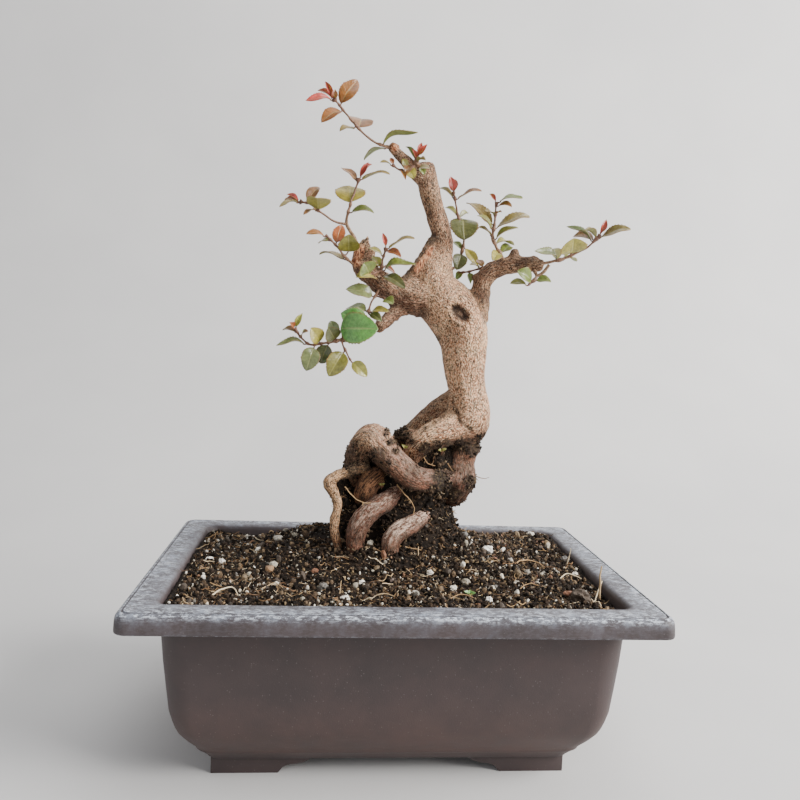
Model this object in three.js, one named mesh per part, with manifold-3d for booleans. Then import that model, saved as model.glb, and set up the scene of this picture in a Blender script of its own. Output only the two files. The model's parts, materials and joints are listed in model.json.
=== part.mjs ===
// A sageretia bonsai with exposed, coiled roots in a moulded plastic training pot, in millimetres, +Z up.
// The origin is the middle of the pot's footprint, on the surface that the feet stand on. +Y is the back.
// The tree is drawn as limbs, shoots and leaves, each a short list of places and sizes read off the real one.
import * as THREE from "three";
import { mergeVertices } from "three/addons/utils/BufferGeometryUtils.js";
import Module from "manifold-3d";

const wasm = await Module();
wasm.setup();

// Driving sizes of the pot
const RIM_LENGTH = 205;
const RIM_WIDTH = 147;
const POT_HEIGHT = 75;
const LIP_DROP = 7.5;
const LIP_WALL = 2;
const FLANGE_THICKNESS = 2.2;
const FLANGE_WIDTH = 13.3;
const RIM_CORNER = 6;
const WALL = 1.8;
const FLOOR_UNDERSIDE = 7;
const FLOOR_THICKNESS = 2.5;
const FOOT_INSET = 31.3;
const FOOT_THICKNESS = 7;
const DRAIN_HOLE = 3.6;
const DRAIN_PITCH = 6;
const DRAIN_CENTRE = 34;

// Outline of the pot's wall from under the flange to the floor: height, and how far it lies inside the rim.
// The last three points are the plinth's slope.
const WALL_PROFILE = [
  [72.8, 11.6], [50, 13.5], [30, 15.8], [22.6, 17.9], [18.6, 20.1], [15, 22.8], [11.8, 25.4], [7.6, 28.8],
  [7, 29.2],
];
const BODY_CORNER_TOP = 13;
const BODY_CORNER_BOTTOM = 6;
const FLOOR_EDGE = 2.6;

// The rim's outer edge is rounded over: height below the top, inset, and how far the corner radius shrinks.
// Its underside rises a little towards the wall, and its inner edge leads into the mouth.
const RIM_ROUNDING = [[1.6, 0.4, 0], [0.4, 1.2, 1], [0, 2.6, 2]];
const UNDERSIDE_SLOPE = 0.3;
const MOUTH_EDGE = 1.2;
const MOUTH_DROP = 1;
const MOUTH_CORNER = 7.2;

// One bracket foot's outline, along the pot's edge from its outer corner: distance and height
const FOOT_SHORT_SHARE = 0.8;
const FOOT_OUTLINE = [[0, 0], [27, 0], [29.5, 3.2], [35, 3.9], [38.5, 5.2], [41, 8.2], [0, 8.2]];

// Clearance that keeps touching pieces apart
const GAP = 0.3;

// Joins and cuts close up anything finer than this.
const JOIN_TOLERANCE = 0.02;

// Soil: its level by the walls, and the mound that it rises to round the roots
const SOIL_LEVEL = 72.2;
const MOUND = { height: 14.3, x: -1, y: 16, halfLength: 56, halfWidth: 30 };
const SOIL_CELL = 7.6;
const SOIL_RELIEF = 1.2;
const SOIL_HEADROOM = 25;
const TERRAIN_OVERLAP = 2;

// Hollows and heaps elsewhere in the soil
const SOIL_HEAPS = [
  { rise: -5, x: -52, y: 56, halfLength: 20, halfWidth: 12 },
  { rise: -4, x: 88, y: -38, halfLength: 9, halfWidth: 22 },
  { rise: 3.5, x: 74, y: 48, halfLength: 16, halfWidth: 13 },
];

// Pebbles: how many, the area that they lie in, their radii, their shape and how high their middle stands
const PEBBLES = {
  count: 14, length: 160, width: 104, least: 1.6, most: 3.2, breadth: 0.8, height: 0.75, lift: 0.4,
};

// Packed soil that fills the coil of roots: height, centre x and y, half-lengths along x and y
const ROOT_SOIL = [
  [72, 2, 11, 34, 26], [82, 1, 11, 30, 20], [91, 3, 11, 29, 14.5], [99, 2.5, 10.5, 28, 13],
  [106, 3.5, 10, 28.5, 12], [112, 6, 10, 25, 10], [119, 9, 9, 21, 8], [126, 18, 9, 11, 4.5],
];
const ROOT_SOIL_SIDES = 12;
const ROOT_SOIL_ROUGHNESS = 0.07;

// The tree's places are read on an upright plane through it, as seen from a viewpoint in front of the pot.
const READING_PLANE = 5;
const VIEWPOINT = new THREE.Vector3(-29.9, -349.6, 174.7);

// The point that is seen at x, z on the reading plane and really lies at depth y
function seen(x, z, y) {
  const reach = (y - VIEWPOINT.y) / (READING_PLANE - VIEWPOINT.y);
  const point = new THREE.Vector3(x, READING_PLANE, z).sub(VIEWPOINT);
  return point.multiplyScalar(reach).add(VIEWPOINT);
}

// Trunk, branches and roots: x, z, depth y, radius
const LIMBS = {
  trunk: [
    [22, 134.5, 5, 6.4], [29, 135.5, 7, 8], [33.4, 138, 8, 9.6], [33.9, 144, 8.5, 9.3], [32.5, 152, 8.5, 8.5],
    [31, 160, 8, 9], [30.2, 170, 7.5, 10.2], [28.8, 179, 7, 11.6], [24, 187, 7, 12.3], [18, 193.5, 7, 11.6],
    [15, 200.5, 7, 9.7], [15.5, 207.5, 7.5, 8], [17.6, 214, 8, 5.4], [17.8, 220, 8, 4.6], [14.6, 230, 9, 4.2],
    [11.2, 240, 10, 4.5], [9.6, 247, 10.5, 4.3], [9.2, 250.5, 10.5, 3.8],
  ],
  left_limb: [
    [18, 192, 7, 9], [8, 193.5, 5, 8.6], [1, 194, 3, 7.2], [-6, 197.5, 1, 5.2], [-12, 201.3, -1, 4.5],
    [-17.5, 205.5, -2, 4], [-18.8, 210, -2, 2.6], [-16.6, 216.8, -2, 0.8],
  ],
  low_limb: [[4, 189, 4, 3.8], [-1, 186, 1, 3.1], [-5.5, 182.5, -3, 2.7], [-8.8, 179.2, -6, 2.5]],
  right_branch: [
    [30, 178, 7, 7.4], [34.3, 187, 6, 6.2], [36, 194, 5.5, 4.6], [36.8, 200, 5, 4.1], [40, 205.5, 4, 4],
    [45.5, 208.3, 2.5, 3.8], [52, 209.8, 1, 3.6], [58, 210, -1, 3.3], [63, 209.8, -2, 2.7],
  ],
  branch_knob: [[51, 209, 1, 2.4], [51, 213, 1, 2.1], [51, 216, 1, 1.8]],
  branch_bump: [[59, 209, -1, 2.4], [60.3, 213, -1, 1.7]],
  elbow_bump: [[37, 200, 5, 2.4], [33.4, 204, 5, 1.7]],
  top_limb: [
    [11, 243, 10, 3.7], [6, 246.5, 9, 3.2], [1.5, 251, 7, 2.7], [-3, 254.8, 5.5, 2.2],
    [-6.3, 257.7, 4.8, 1.8],
  ],
  front_root: [
    [36, 136, 9, 8.4], [27, 134.8, 5, 7], [19, 132, 2, 6.1], [12.5, 128, 2, 5.2], [9, 122, 5, 4.8],
    [9, 113, 10, 4.6],
  ],
  back_root: [
    [31, 150, 12, 6.6], [22, 143.2, 15, 6.4], [14, 137, 17, 5.8], [7, 129, 19, 5.4], [2, 118, 21, 5.2],
    [-1, 102, 23, 4.8], [-6, 86, 25, 4.1], [-12, 76, 26, 3.2],
  ],
  root_knob: [[10, 129, 6, 4.4], [4.5, 130, 9, 4.1], [0.5, 125, 12, 4]],
  right_root: [
    [34.5, 131, 10, 8], [31, 120.5, 10, 6], [30.4, 112, 9, 8], [28.4, 105, 10, 7.2], [22, 97, 11, 5.2],
  ],
  back_right_root: [
    [32, 122, 13, 5.6], [31, 110, 18, 4.6], [26, 98, 23, 4.2], [18, 83, 27, 3.6],
  ],
  back_coil: [
    [24, 127, 15, 5], [15, 121, 22, 4.4], [4, 112, 26.5, 4.2], [-6, 103, 24, 4], [-12, 96, 17, 4],
    [-13, 88, 10, 3.6],
  ],
  arch_root: [
    [28, 112, 9, 4.6], [14, 110.8, -2, 5.4], [8, 112.6, -5, 5.8], [2, 117.5, -5, 6], [-4, 123.6, -3, 6.4],
    [-9, 129.2, 0, 6.8], [-13.6, 125.6, 3, 6.2], [-16, 119, 5, 5.4], [-16.5, 111, 8, 4.8],
    [-13, 101, 10, 4.3],
  ],
  red_root: [[-4, 114, 8, 4.4], [-9, 110, 2, 4.7], [-12, 105.3, 3, 4.4], [-12, 98, 8, 4]],
  slant_root: [
    [9, 116, 9, 4], [6, 109.5, 5, 4], [1, 104, 1, 4], [-4, 99.6, -4, 4.3], [-9.5, 95.6, -7, 4.4],
    [-13.7, 90.3, -9, 4.4],
    [-15.2, 84.5, -9, 4.1], [-15.2, 76, -8, 3.5],
  ],
  low_root: [
    [20, 98, 10, 3.6], [14.5, 93.5, 0, 3.5], [9, 89.7, -6, 3.9], [4, 87, -9, 4.2], [0.8, 83, -10, 4.2],
    [0.5, 74, -9, 3.5],
  ],
  pale_root: [
    [-11, 117, 0, 2.2], [-19, 114.3, -3, 2.3], [-25.5, 111.4, -5, 2.3], [-28.3, 108.6, -6, 2.7],
    [-25.6, 103.5, -6, 2.2],
    [-24, 98, -6, 2.1], [-25.2, 92, -6.5, 2.1], [-25, 86.5, -7, 2.1], [-23.6, 81, -7, 1.8],
    [-22, 73, -7, 1.4],
  ],
};

// Sides round a limb, and rings from one reading to the next, by its thickest radius
const LIMB_DETAIL = [
  { over: 7, sides: 11, rings: 1.3 },
  { over: 5, sides: 8, rings: 1.3 },
  { over: 0, sides: 6, rings: 1 },
];

// A limb's round end: how far it reaches past the last reading, and its width, as shares of the last radius
const CAP_REACH = 0.35;
const CAP_SHARE = 0.72;

// Shoots. A stem is x, z, depth y, radius. A leaf is its base x, z, y, its tip x, z, y, its width, and the
// way that its upper face looks, in degrees from the front upwards.
const SHOOTS = {
  apex_shoot: {
    stems: [
      [[-5.6, 257.2, 5, 0.9], [-13, 259, 3, 0.75], [-19, 263, 1, 0.7], [-25.5, 269.5, -1, 0.65],
        [-29.5, 273.8, -2, 0.6],
        [-31.8, 276.2, -3, 0.5]],
    ],
    leaves: [
      [-28.8, 274.6, -2, -22, 285, 2, 7.5, 20], [-28.6, 271.8, -2, -37, 266.3, -7, 6, 35],
      [-21, 264.2, 0, -20, 267.4, 12, 11, 90], [-23, 264.5, 0, -29, 263, -4, 4, 60],
      [-11, 258, 3, 5, 264.8, -2, 6, 80], [-8, 256.8, 4, -18, 251.5, 10, 6, 75],
      [-32, 276, -3, -44, 275, -8, 4, 30], [-32.3, 276.5, -3, -36, 283.5, -2, 2.4, 0],
      [-32.5, 276.5, -3, -39, 279.5, 2, 2.4, 30], [-31.4, 276.5, -3, -31.6, 280.5, -4, 3, 0],
    ],
  },
  stub_shoot: {
    stems: [[[6, 247, 8, 0.9], [5, 252, 5, 0.8], [5.2, 254.2, 4, 0.6]]],
    leaves: [
      [5.3, 254, 4, 9.5, 259.8, 2, 2.6, 10], [5.2, 254.2, 4, 7, 260.4, 6, 2.2, 20],
      [5, 253.5, 4, 2.5, 257.5, 2, 2.2, 20],
      [4.8, 252.5, 5, 0, 258.2, 8, 2.4, 30], [5.4, 252, 5, 9, 253, -2, 3, 60],
    ],
  },
  stub_side_shoot: {
    stems: [[[3, 248, 7, 0.8], [-2, 248, 4, 0.7], [-5.5, 250, 2, 0.5]]],
    leaves: [
      [-5.4, 250, 2, -11, 250.8, 0, 3.4, 60], [-5, 250, 2, -6.5, 253, 4, 2.2, 20],
      [-1, 248, 4, 0.5, 244, -2, 3, 30],
    ],
  },
  left_upper_shoot: {
    stems: [
      [[-18.5, 209, -2, 1.4], [-20, 216, 0, 1.2], [-24.5, 223.5, 1, 1.1], [-24.4, 227, 1, 0.8],
        [-23, 233, 1, 0.7],
        [-21.2, 239, 2, 0.6], [-19.8, 243.4, 2, 0.5]],
      [[-24.5, 223.5, 1, 0.9], [-29, 224, -1, 0.7], [-36, 228, -4, 0.65], [-41, 231.3, -6, 0.55],
        [-45.2, 232, -8, 0.5]],
    ],
    leaves: [
      [-23, 228.5, 1, -12.8, 229, -3, 5.5, 55], [-23, 233, 1, -22, 238, 11, 14, 62],
      [-20.6, 242, 2, -27.8, 247.5, 4, 4.5, 60], [-19.8, 243, 2, -6.5, 246.2, -2, 5, 75],
      [-19.6, 243.4, 2, -16, 250.5, 2, 2.6, 10], [-19.6, 243.2, 2, -14.4, 249.8, 5, 2.2, 40],
      [-37, 228.4, -4, -37.5, 234, -14, 10.5, 60], [-42.5, 231.6, -6, -37, 238.6, -2, 5, 40],
      [-45, 232, -8, -54, 229.3, -12, 3.6, 70], [-45, 232, -8, -50.8, 234.8, -6, 2.4, 40],
      [-45, 232, -8, -52, 231.8, -4, 2.2, 50], [-37.5, 228.5, -4, -43.5, 226.5, -10, 3.5, 80],
    ],
  },
  left_middle_shoot: {
    stems: [
      [[-18, 204, -3, 1], [-24, 208.5, -6, 0.8], [-27.5, 212.5, -8, 0.7], [-31, 216, -10, 0.6],
        [-33.6, 218.2, -11, 0.5]],
    ],
    leaves: [
      [-29, 214.3, -9, -26.5, 223, -7, 5.5, 20], [-33.4, 218, -11, -42, 218.3, -14, 4, 50],
      [-31.5, 216.4, -10, -36.5, 214.6, -5, 4.5, 50], [-25, 210, -6, -24.5, 218, -14, 9.5, 45],
      [-23.5, 208, -6, -36, 210, -1, 5, 78],
    ],
  },
  limb_shoot: {
    stems: [
      [[-9, 199, -2, 0.9], [-8.5, 205, -5, 0.7], [-7.8, 210, -6, 0.6], [-6.8, 214.2, -6, 0.5]],
      [[-8.6, 204, -4.6, 0.7], [-11, 203, -7.4, 0.65], [-13.4, 202, -8.4, 0.6]],
    ],
    leaves: [
      [-6.8, 214, -6, -8.6, 220.5, -6, 2.4, 20], [-6.6, 213.8, -6, 5.6, 219, -10, 5, 70],
      [-6.6, 213.4, -6, 0, 210.3, -10, 4, 40], [-8, 210.4, -6, -14.5, 213.5, -9, 5, 55],
      [-8.6, 205.6, -5, -12.8, 210, -3, 4.5, 40], [-13.2, 202, -8, -14.5, 207.5, -17, 12, 50],
      [-12.6, 201, -7, -19.5, 200.8, -14, 5, 68], [-8.4, 204, -5, 6.5, 207.8, -9, 6, 55],
      [-8.6, 206, -5, -2.5, 203.5, -3, 4.5, 50], [-8.7, 203.6, -4.8, 2, 198.5, -12, 6, 60],
    ],
  },
  hanging_shoot: {
    stems: [
      [[-9, 197, -2, 0.9], [-10.6, 193, -6, 0.7], [-12.3, 190, -8, 0.65], [-13.6, 185.2, -9, 0.6]],
      [[-10.6, 193, -6, 0.6], [-6.5, 191.8, -9, 0.5]],
    ],
    leaves: [
      [-11, 193.6, -7, -23.8, 195.2, -9, 6.5, 40], [-6.8, 192, -9, -2.8, 189.6, -13, 5, 30],
      [-13.5, 186, -9, -23.5, 186.8, -4, 7, 60], [-13.3, 185.4, -9, -4.6, 186.5, -13, 4.5, 50],
      [-13.3, 185, -9, -7.5, 181.8, -11, 4.5, 40],
    ],
  },
  low_left_shoot: {
    stems: [
      [[-7, 180, -5, 1.2], [-12, 177.4, -8, 1], [-18, 175.5, -9, 0.9], [-25, 172.8, -10, 0.8],
        [-33, 171, -11, 0.7],
        [-39, 170.3, -12, 0.6], [-43, 173.5, -13, 0.55], [-45.6, 177, -13, 0.5]],
      [[-25, 172.8, -10, 0.6], [-23.3, 168.5, -12, 0.55], [-20.6, 164, -13, 0.5]],
    ],
    leaves: [
      [-25.5, 177.8, -14, -9, 178.3, -19, 13.5, 5], [-25, 172.5, -11, -16, 172.5, -16, 6, 50],
      [-27.5, 171.8, -11, -31, 178, -15, 7.5, 15], [-27, 173, -11, -30, 181, -6, 5, 30],
      [-34, 170.8, -12, -38.5, 177.5, -16, 7, 25], [-36.5, 170, -12, -40, 158.5, -15, 8, 5],
      [-30.5, 170.8, -11, -34, 162, -9, 7.5, 15], [-24, 168.4, -12, -30, 156.5, -16, 8.8, 10],
      [-20.6, 164, -13, -13, 157, -15, 5.5, 15], [-40, 170.8, -12, -53.5, 169.3, -14, 4.5, 65],
      [-44.3, 175.5, -13, -51, 176, -10, 3.2, 60], [-45.4, 177, -13, -48, 179.5, -16, 3, 30],
      [-45.2, 177, -13, -42.5, 183.8, -13, 2.8, 20], [-43, 173.6, -13, -39.8, 176, -18, 3.5, 40],
    ],
  },
  back_shoot: {
    stems: [
      [[19, 205, 13, 1.2], [25, 208, 18, 1], [27, 214, 19, 0.8], [27.7, 218.5, 19, 0.7], [26.4, 225, 18, 0.7],
        [24.4, 230, 17, 0.65], [23.2, 235, 16, 0.6], [22, 240, 16, 0.5]],
    ],
    leaves: [
      [22, 239.6, 16, 20.4, 246.6, 16, 3.6, 0], [22, 239.6, 16, 22.4, 245.6, 18, 3, 30],
      [22.6, 237.4, 16, 15.5, 241.2, 19, 4, 65], [22.8, 236.8, 16, 34.5, 241.3, 12, 5, 65],
      [24.2, 230, 17, 18.6, 233, 21, 4, 60], [26.6, 228.6, 19, 28, 219, 13, 12, 20],
      [25.2, 229, 18, 29, 231, 22, 3, 45], [27, 214.2, 19, 25, 206, 15, 7, 10],
      [27.6, 216.5, 19, 34.5, 208, 17, 5, 20], [27.2, 215, 19, 23, 218.3, 22, 3.5, 45],
    ],
  },
  back_low_shoot: {
    stems: [[[43, 207.5, 3, 0.8], [37.5, 207.8, 9, 0.65], [30, 205.3, 13, 0.6], [25.5, 205, 15, 0.5]]],
    leaves: [
      [28, 205.2, 13, 24.6, 202.2, 17, 4, 30], [31, 205.5, 12.5, 31.5, 200.2, 10, 3, 10],
      [35, 207, 10, 31, 208.6, 5, 3.5, 60], [37, 207.8, 9, 34, 211, 13, 3.5, 40],
    ],
  },
  branch_shoot: {
    stems: [
      [[47, 209, 2, 1.2], [45, 213, -1, 1.1], [42, 217.5, -1, 0.9], [40.6, 221, -1, 0.8],
        [40.9, 226, -1, 0.7],
        [41.2, 231, -1, 0.6], [41.5, 236.6, -1, 0.5]],
    ],
    leaves: [
      [41.6, 236.4, -1, 53.2, 239.3, -5, 5, 60], [41.6, 235.2, -1, 48, 235.3, -6, 4, 50],
      [41.4, 236.4, -1, 38, 240, 2, 2, 20], [40.8, 226.5, -1, 28, 235.6, 4, 6.5, 50],
      [40.8, 224.5, -1, 33.2, 230.3, -8, 5, 40], [40.6, 221.5, -1, 33.8, 225.3, -4, 4, 60],
      [41, 225.2, -1, 56.8, 231.2, 3, 6, 62], [40.8, 220, -1, 51.8, 226, -6, 5.5, 60],
      [41.4, 219, -1, 50.5, 218.3, 6, 4.5, 70], [41.2, 231, -1, 36.5, 232.3, -5, 3.5, 55],
      [41.2, 231.4, -1, 44.2, 232.3, -4, 2, 60], [43.8, 215, -1, 41.3, 211, -8, 5, 20],
      [44.4, 214.2, -1, 49, 217.5, 8, 5, 40],
    ],
  },
  tip_shoot: {
    stems: [
      [[60.5, 210, -1.5, 1.2], [67, 211.4, -3, 0.9], [71.5, 212.7, -4, 0.8], [76.5, 214.8, -5, 0.7],
        [81.5, 217.4, -6, 0.65], [85.5, 220.3, -7, 0.6], [88, 223, -7, 0.55], [89.5, 225, -8, 0.5]],
    ],
    leaves: [
      [76.3, 215.2, -5, 76, 222.8, -16, 12.5, 55], [87.6, 223, -7, 77, 223.3, 0, 6.5, 45],
      [86.6, 221.6, -7, 74, 227.8, -4, 4, 60], [88, 223.4, -7, 82, 226.3, -13, 3, 70],
      [88.3, 223, -7, 103.5, 228.2, -12, 6.5, 50], [89.4, 225, -8, 92, 231.8, -8, 2.8, 10],
      [89.2, 224.8, -8, 91.5, 229, -4, 2.2, 30], [71.5, 212.8, -4, 60, 216.2, -9, 5.5, 45],
      [70.5, 212.6, -4, 68, 217.5, 4, 5.5, 45], [72.5, 213, -4, 79.5, 212.6, 3, 5, 60],
    ],
  },
  tip_low_shoot: {
    stems: [
      [[60, 207.6, -3, 1.2], [61.5, 205, -6, 1], [60.3, 203, -7, 0.8], [58, 200.9, -7.5, 0.5]],
      [[61.5, 205, -6, 1], [64.3, 206.8, -7, 1.1], [67, 210.3, -8, 1.1]],
    ],
    leaves: [
      [59.8, 202.6, -7, 52.5, 206.8, -11, 6.5, 20], [58.2, 201, -7.5, 49.5, 201.2, -9, 4.5, 50],
      [60.6, 203.4, -7, 68.2, 202.8, -10, 4.5, 40],
    ],
  },
};
const BLADE_THICKNESS = 0.7;
const BLADE_FOLD = 0.32;
const BLADE_ARCH = 0.1;
const BLADE_LEAST = 0.4;
const STEM_SIDES = 4;
const STEM_SAMPLES = 40;

// Outline of a leaf from stalk to tip, as shares of its length and of its half-width, with notches between
// the teeth. Leaves from WIDE_LEAF on have more teeth and are folded along the midrib.
const WIDE_LEAF = 8;
const WIDE_OUTLINE = [
  [0, 0.1], [0.13, 0.66], [0.29, 0.98], [0.42, 0.93], [0.56, 1], [0.72, 0.82], [0.88, 0.54], [1, 0.12],
];
const NARROW_LEAF = 4.6;
const MEDIUM_OUTLINE = [[0, 0.14], [0.2, 0.76], [0.4, 1], [0.58, 0.88], [0.79, 0.66], [1, 0.14]];
const NARROW_OUTLINE = [[0, 0.2], [0.26, 0.8], [0.5, 1], [0.74, 0.68], [1, 0.14]];
const SMALL_LEAF = 3.3;
const SMALL_OUTLINE = [[0, 0.3], [0.36, 1], [0.68, 0.76], [1, 0.2]];

// A leaf whose base is further than this from its shoot gets a stalk of its own.
const STALK_LEAST = 1.3;

// Seeded random numbers from 0 to 1
function randomFrom(seed) {
  let state = seed;
  return () => {
    state = (state + 0x6d2b79f5) | 0;
    let t = Math.imul(state ^ (state >>> 15), 1 | state);
    t = (t + Math.imul(t ^ (t >>> 7), 61 | t)) ^ t;
    return ((t ^ (t >>> 14)) >>> 0) / 4294967296;
  };
}

// A closed three.js geometry as a solid that can be joined and cut
function solid(geometry) {
  const bare = geometry.index ? geometry.toNonIndexed() : geometry.clone();
  bare.deleteAttribute("normal");
  bare.deleteAttribute("uv");
  const merged = mergeVertices(bare, 1e-4);
  return new wasm.Manifold(new wasm.Mesh({
    numProp: 3,
    vertProperties: new Float32Array(merged.attributes.position.array),
    triVerts: new Uint32Array(merged.index.array),
    tolerance: JOIN_TOLERANCE,
  }));
}

function join(solids) {
  return wasm.Manifold.union(solids);
}

// The biggest body of a solid, so that no loose scrap of a cut is left
function mainBody(cut) {
  return cut.decompose().sort((a, b) => b.volume() - a.volume())[0];
}

function geometryOf(cut) {
  const mesh = cut.getMesh();
  const geometry = new THREE.BufferGeometry();
  geometry.setAttribute("position", new THREE.BufferAttribute(new Float32Array(mesh.vertProperties), 3));
  geometry.setIndex(new THREE.BufferAttribute(new Uint32Array(mesh.triVerts), 1));
  geometry.computeVertexNormals();
  return geometry;
}

// A closed skin over rings of points, each ring with the same number of points, and a cap at each end
function skin(rings) {
  const count = rings[0].length;
  const positions = rings.flat().flatMap((p) => [p.x, p.y, p.z]);
  const index = [];
  for (let ring = 0; ring + 1 < rings.length; ring++) {
    for (let i = 0; i < count; i++) {
      const a = ring * count + i;
      const b = ring * count + ((i + 1) % count);
      index.push(a, b, b + count, a, b + count, a + count);
    }
  }
  const caps = [rings[0], rings[rings.length - 1]];
  caps.forEach((ring, end) => {
    if (count === 4) {
      const [a, b, c, d] = [0, 1, 2, 3].map((i) => (end ? (rings.length - 1) * count + i : 3 - i));
      index.push(a, b, c, a, c, d);
      return;
    }
    const centre = ring.reduce((sum, p) => sum.add(p), new THREE.Vector3()).divideScalar(count);
    const middle = positions.length / 3;
    positions.push(centre.x, centre.y, centre.z);
    const first = end ? (rings.length - 1) * count : 0;
    for (let i = 0; i < count; i++) {
      const a = first + i;
      const b = first + ((i + 1) % count);
      index.push(...(end ? [a, b, middle] : [b, a, middle]));
    }
  });
  const geometry = new THREE.BufferGeometry();
  geometry.setAttribute("position", new THREE.Float32BufferAttribute(positions, 3));
  geometry.setIndex(index);
  return geometry;
}

// Four-sided ring with round corners at height z, anticlockwise from above
function roundedRing(halfLength, halfWidth, corner, z, steps = 3) {
  const ring = [];
  const corners = [[1, 1, 0], [-1, 1, 90], [-1, -1, 180], [1, -1, 270]];
  for (const [sx, sy, start] of corners) {
    for (let i = 0; i <= steps; i++) {
      const angle = THREE.MathUtils.degToRad(start + (90 * i) / steps);
      ring.push(new THREE.Vector3(
        sx * (halfLength - corner) + corner * Math.cos(angle),
        sy * (halfWidth - corner) + corner * Math.sin(angle),
        z,
      ));
    }
  }
  return ring;
}

function potRing(z, inset, corner) {
  return roundedRing(RIM_LENGTH / 2 - inset, RIM_WIDTH / 2 - inset, corner, z);
}

// The wall's corner radius shrinks from the top to the floor
function bodyCorner(z) {
  const share = THREE.MathUtils.clamp((z - FLOOR_UNDERSIDE) / (POT_HEIGHT - FLOOR_UNDERSIDE), 0, 1);
  return THREE.MathUtils.lerp(BODY_CORNER_BOTTOM, BODY_CORNER_TOP, Math.sqrt(share));
}

// Rings of the pot's inside from the mouth down to the floor, each moved inwards by a clearance
function insideRings(clearance) {
  const floor = FLOOR_UNDERSIDE + FLOOR_THICKNESS + clearance;
  const wall = WALL_PROFILE.filter(([z]) => z > floor + 1);
  const rings = wall.map(([z, inset]) => potRing(z, inset + WALL + clearance, bodyCorner(z) - WALL));
  const [, lowInset] = wall.at(-1);
  rings.push(potRing(floor, lowInset + WALL + clearance + FLOOR_EDGE, BODY_CORNER_BOTTOM - WALL));
  return rings;
}

// One foot: two brackets that meet at a corner of the floor, sx and sy giving the corner
function foot(sx, sy) {
  const cornerX = sx * (RIM_LENGTH / 2 - FOOT_INSET);
  const cornerY = sy * (RIM_WIDTH / 2 - FOOT_INSET);
  const bracket = (outline) => {
    const shape = new THREE.Shape(outline.map(([along, z]) => new THREE.Vector2(along, z)));
    return new THREE.ExtrudeGeometry(shape, { depth: FOOT_THICKNESS, bevelEnabled: false });
  };
  const alongX = bracket(FOOT_OUTLINE.map(([along, z]) => [-sx * along, z]));
  alongX.rotateX(Math.PI / 2).translate(cornerX, cornerY + (sy < 0 ? FOOT_THICKNESS : 0), 0);
  const alongY = bracket(FOOT_OUTLINE.map(([along, z]) => [-sy * FOOT_SHORT_SHARE * along, z]));
  alongY.rotateX(Math.PI / 2).rotateZ(Math.PI / 2);
  alongY.translate(cornerX - (sx > 0 ? FOOT_THICKNESS : 0), cornerY, 0);
  return join([solid(alongX), solid(alongY)]);
}

// The rim's rings, from the hanging lip's inner face round its outer edge and over the top to the mouth
function rimRings() {
  const lipBottom = POT_HEIGHT - LIP_DROP;
  const lipCorner = RIM_CORNER - LIP_WALL;
  return [
    potRing(POT_HEIGHT - FLANGE_THICKNESS, LIP_WALL + UNDERSIDE_SLOPE, lipCorner),
    potRing(lipBottom, LIP_WALL, lipCorner),
    potRing(lipBottom, 0, RIM_CORNER),
    ...RIM_ROUNDING.map(([drop, inset, sharper]) => potRing(POT_HEIGHT - drop, inset, RIM_CORNER - sharper)),
    potRing(POT_HEIGHT, FLANGE_WIDTH - MOUTH_EDGE, MOUTH_CORNER),
    potRing(POT_HEIGHT - MOUTH_DROP, FLANGE_WIDTH, MOUTH_CORNER),
  ];
}

// Three rows of three square holes at each end of the floor
function drainHoles() {
  const holes = [];
  for (const side of [-1, 1]) {
    for (let column = -1; column <= 1; column++) {
      for (let row = -1; row <= 1; row++) {
        const hole = new THREE.BoxGeometry(DRAIN_HOLE, DRAIN_HOLE, 3 * FLOOR_THICKNESS);
        hole.translate(side * DRAIN_CENTRE + column * DRAIN_PITCH, row * DRAIN_PITCH, FLOOR_UNDERSIDE + 1);
        holes.push(solid(hole));
      }
    }
  }
  return join(holes);
}

function makePot() {
  const outside = WALL_PROFILE.toReversed().map(([z, inset]) => potRing(z, inset, bodyCorner(z)));
  const shell = skin([...outside, ...rimRings(), ...insideRings(0).slice(1)]);
  const feet = [foot(-1, -1), foot(1, -1), foot(-1, 1), foot(1, 1)];
  return join([solid(shell), ...feet]).subtract(drainHoles());
}

// A round limb along points of x, z, depth and radius, with a rounded end, made fatter by `extra` all round
function limb(points, sides, stepsPerSpan, extra = 0) {
  const curve = new THREE.CatmullRomCurve3(points.map(([x, z, y]) => seen(x, z, y)), false, "centripetal");
  const spans = points.length - 1;
  const steps = Math.max(2, Math.round(spans * stepsPerSpan));
  const frames = curve.computeFrenetFrames(steps, false);
  const rings = [];
  const radiusAt = (share) => {
    const at = Math.min(share * spans, spans - 1e-6);
    const span = Math.floor(at);
    return THREE.MathUtils.lerp(points[span][3], points[span + 1][3], at - span) + extra;
  };
  const ringAt = (centre, index, radius) => {
    return Array.from({ length: sides }, (_, i) => {
      const angle = (2 * Math.PI * i) / sides;
      return centre.clone()
        .addScaledVector(frames.normals[index], radius * Math.cos(angle))
        .addScaledVector(frames.binormals[index], radius * Math.sin(angle));
    });
  };
  for (let i = 0; i <= steps; i++) {
    // getPointAt walks by arc length, so the radius is looked up at the matching curve parameter.
    const parameter = curve.getUtoTmapping(i / steps);
    rings.push(ringAt(curve.getPointAt(i / steps), i, radiusAt(parameter)));
  }
  const endRadius = radiusAt(1);
  const tangent = frames.tangents[steps];
  const capCentre = curve.getPointAt(1).addScaledVector(tangent, CAP_REACH * endRadius + extra);
  rings.push(ringAt(capCentre, steps, CAP_SHARE * endRadius));
  return solid(skin(rings));
}

// All limbs grown into one body
function makeTree(extra = 0) {
  return mainBody(join(Object.values(LIMBS).map((points) => {
    const thickest = Math.max(...points.map((p) => p[3]));
    const detail = LIMB_DETAIL.find(({ over }) => thickest > over);
    return limb(points, detail.sides, detail.rings, extra);
  })));
}

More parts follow.
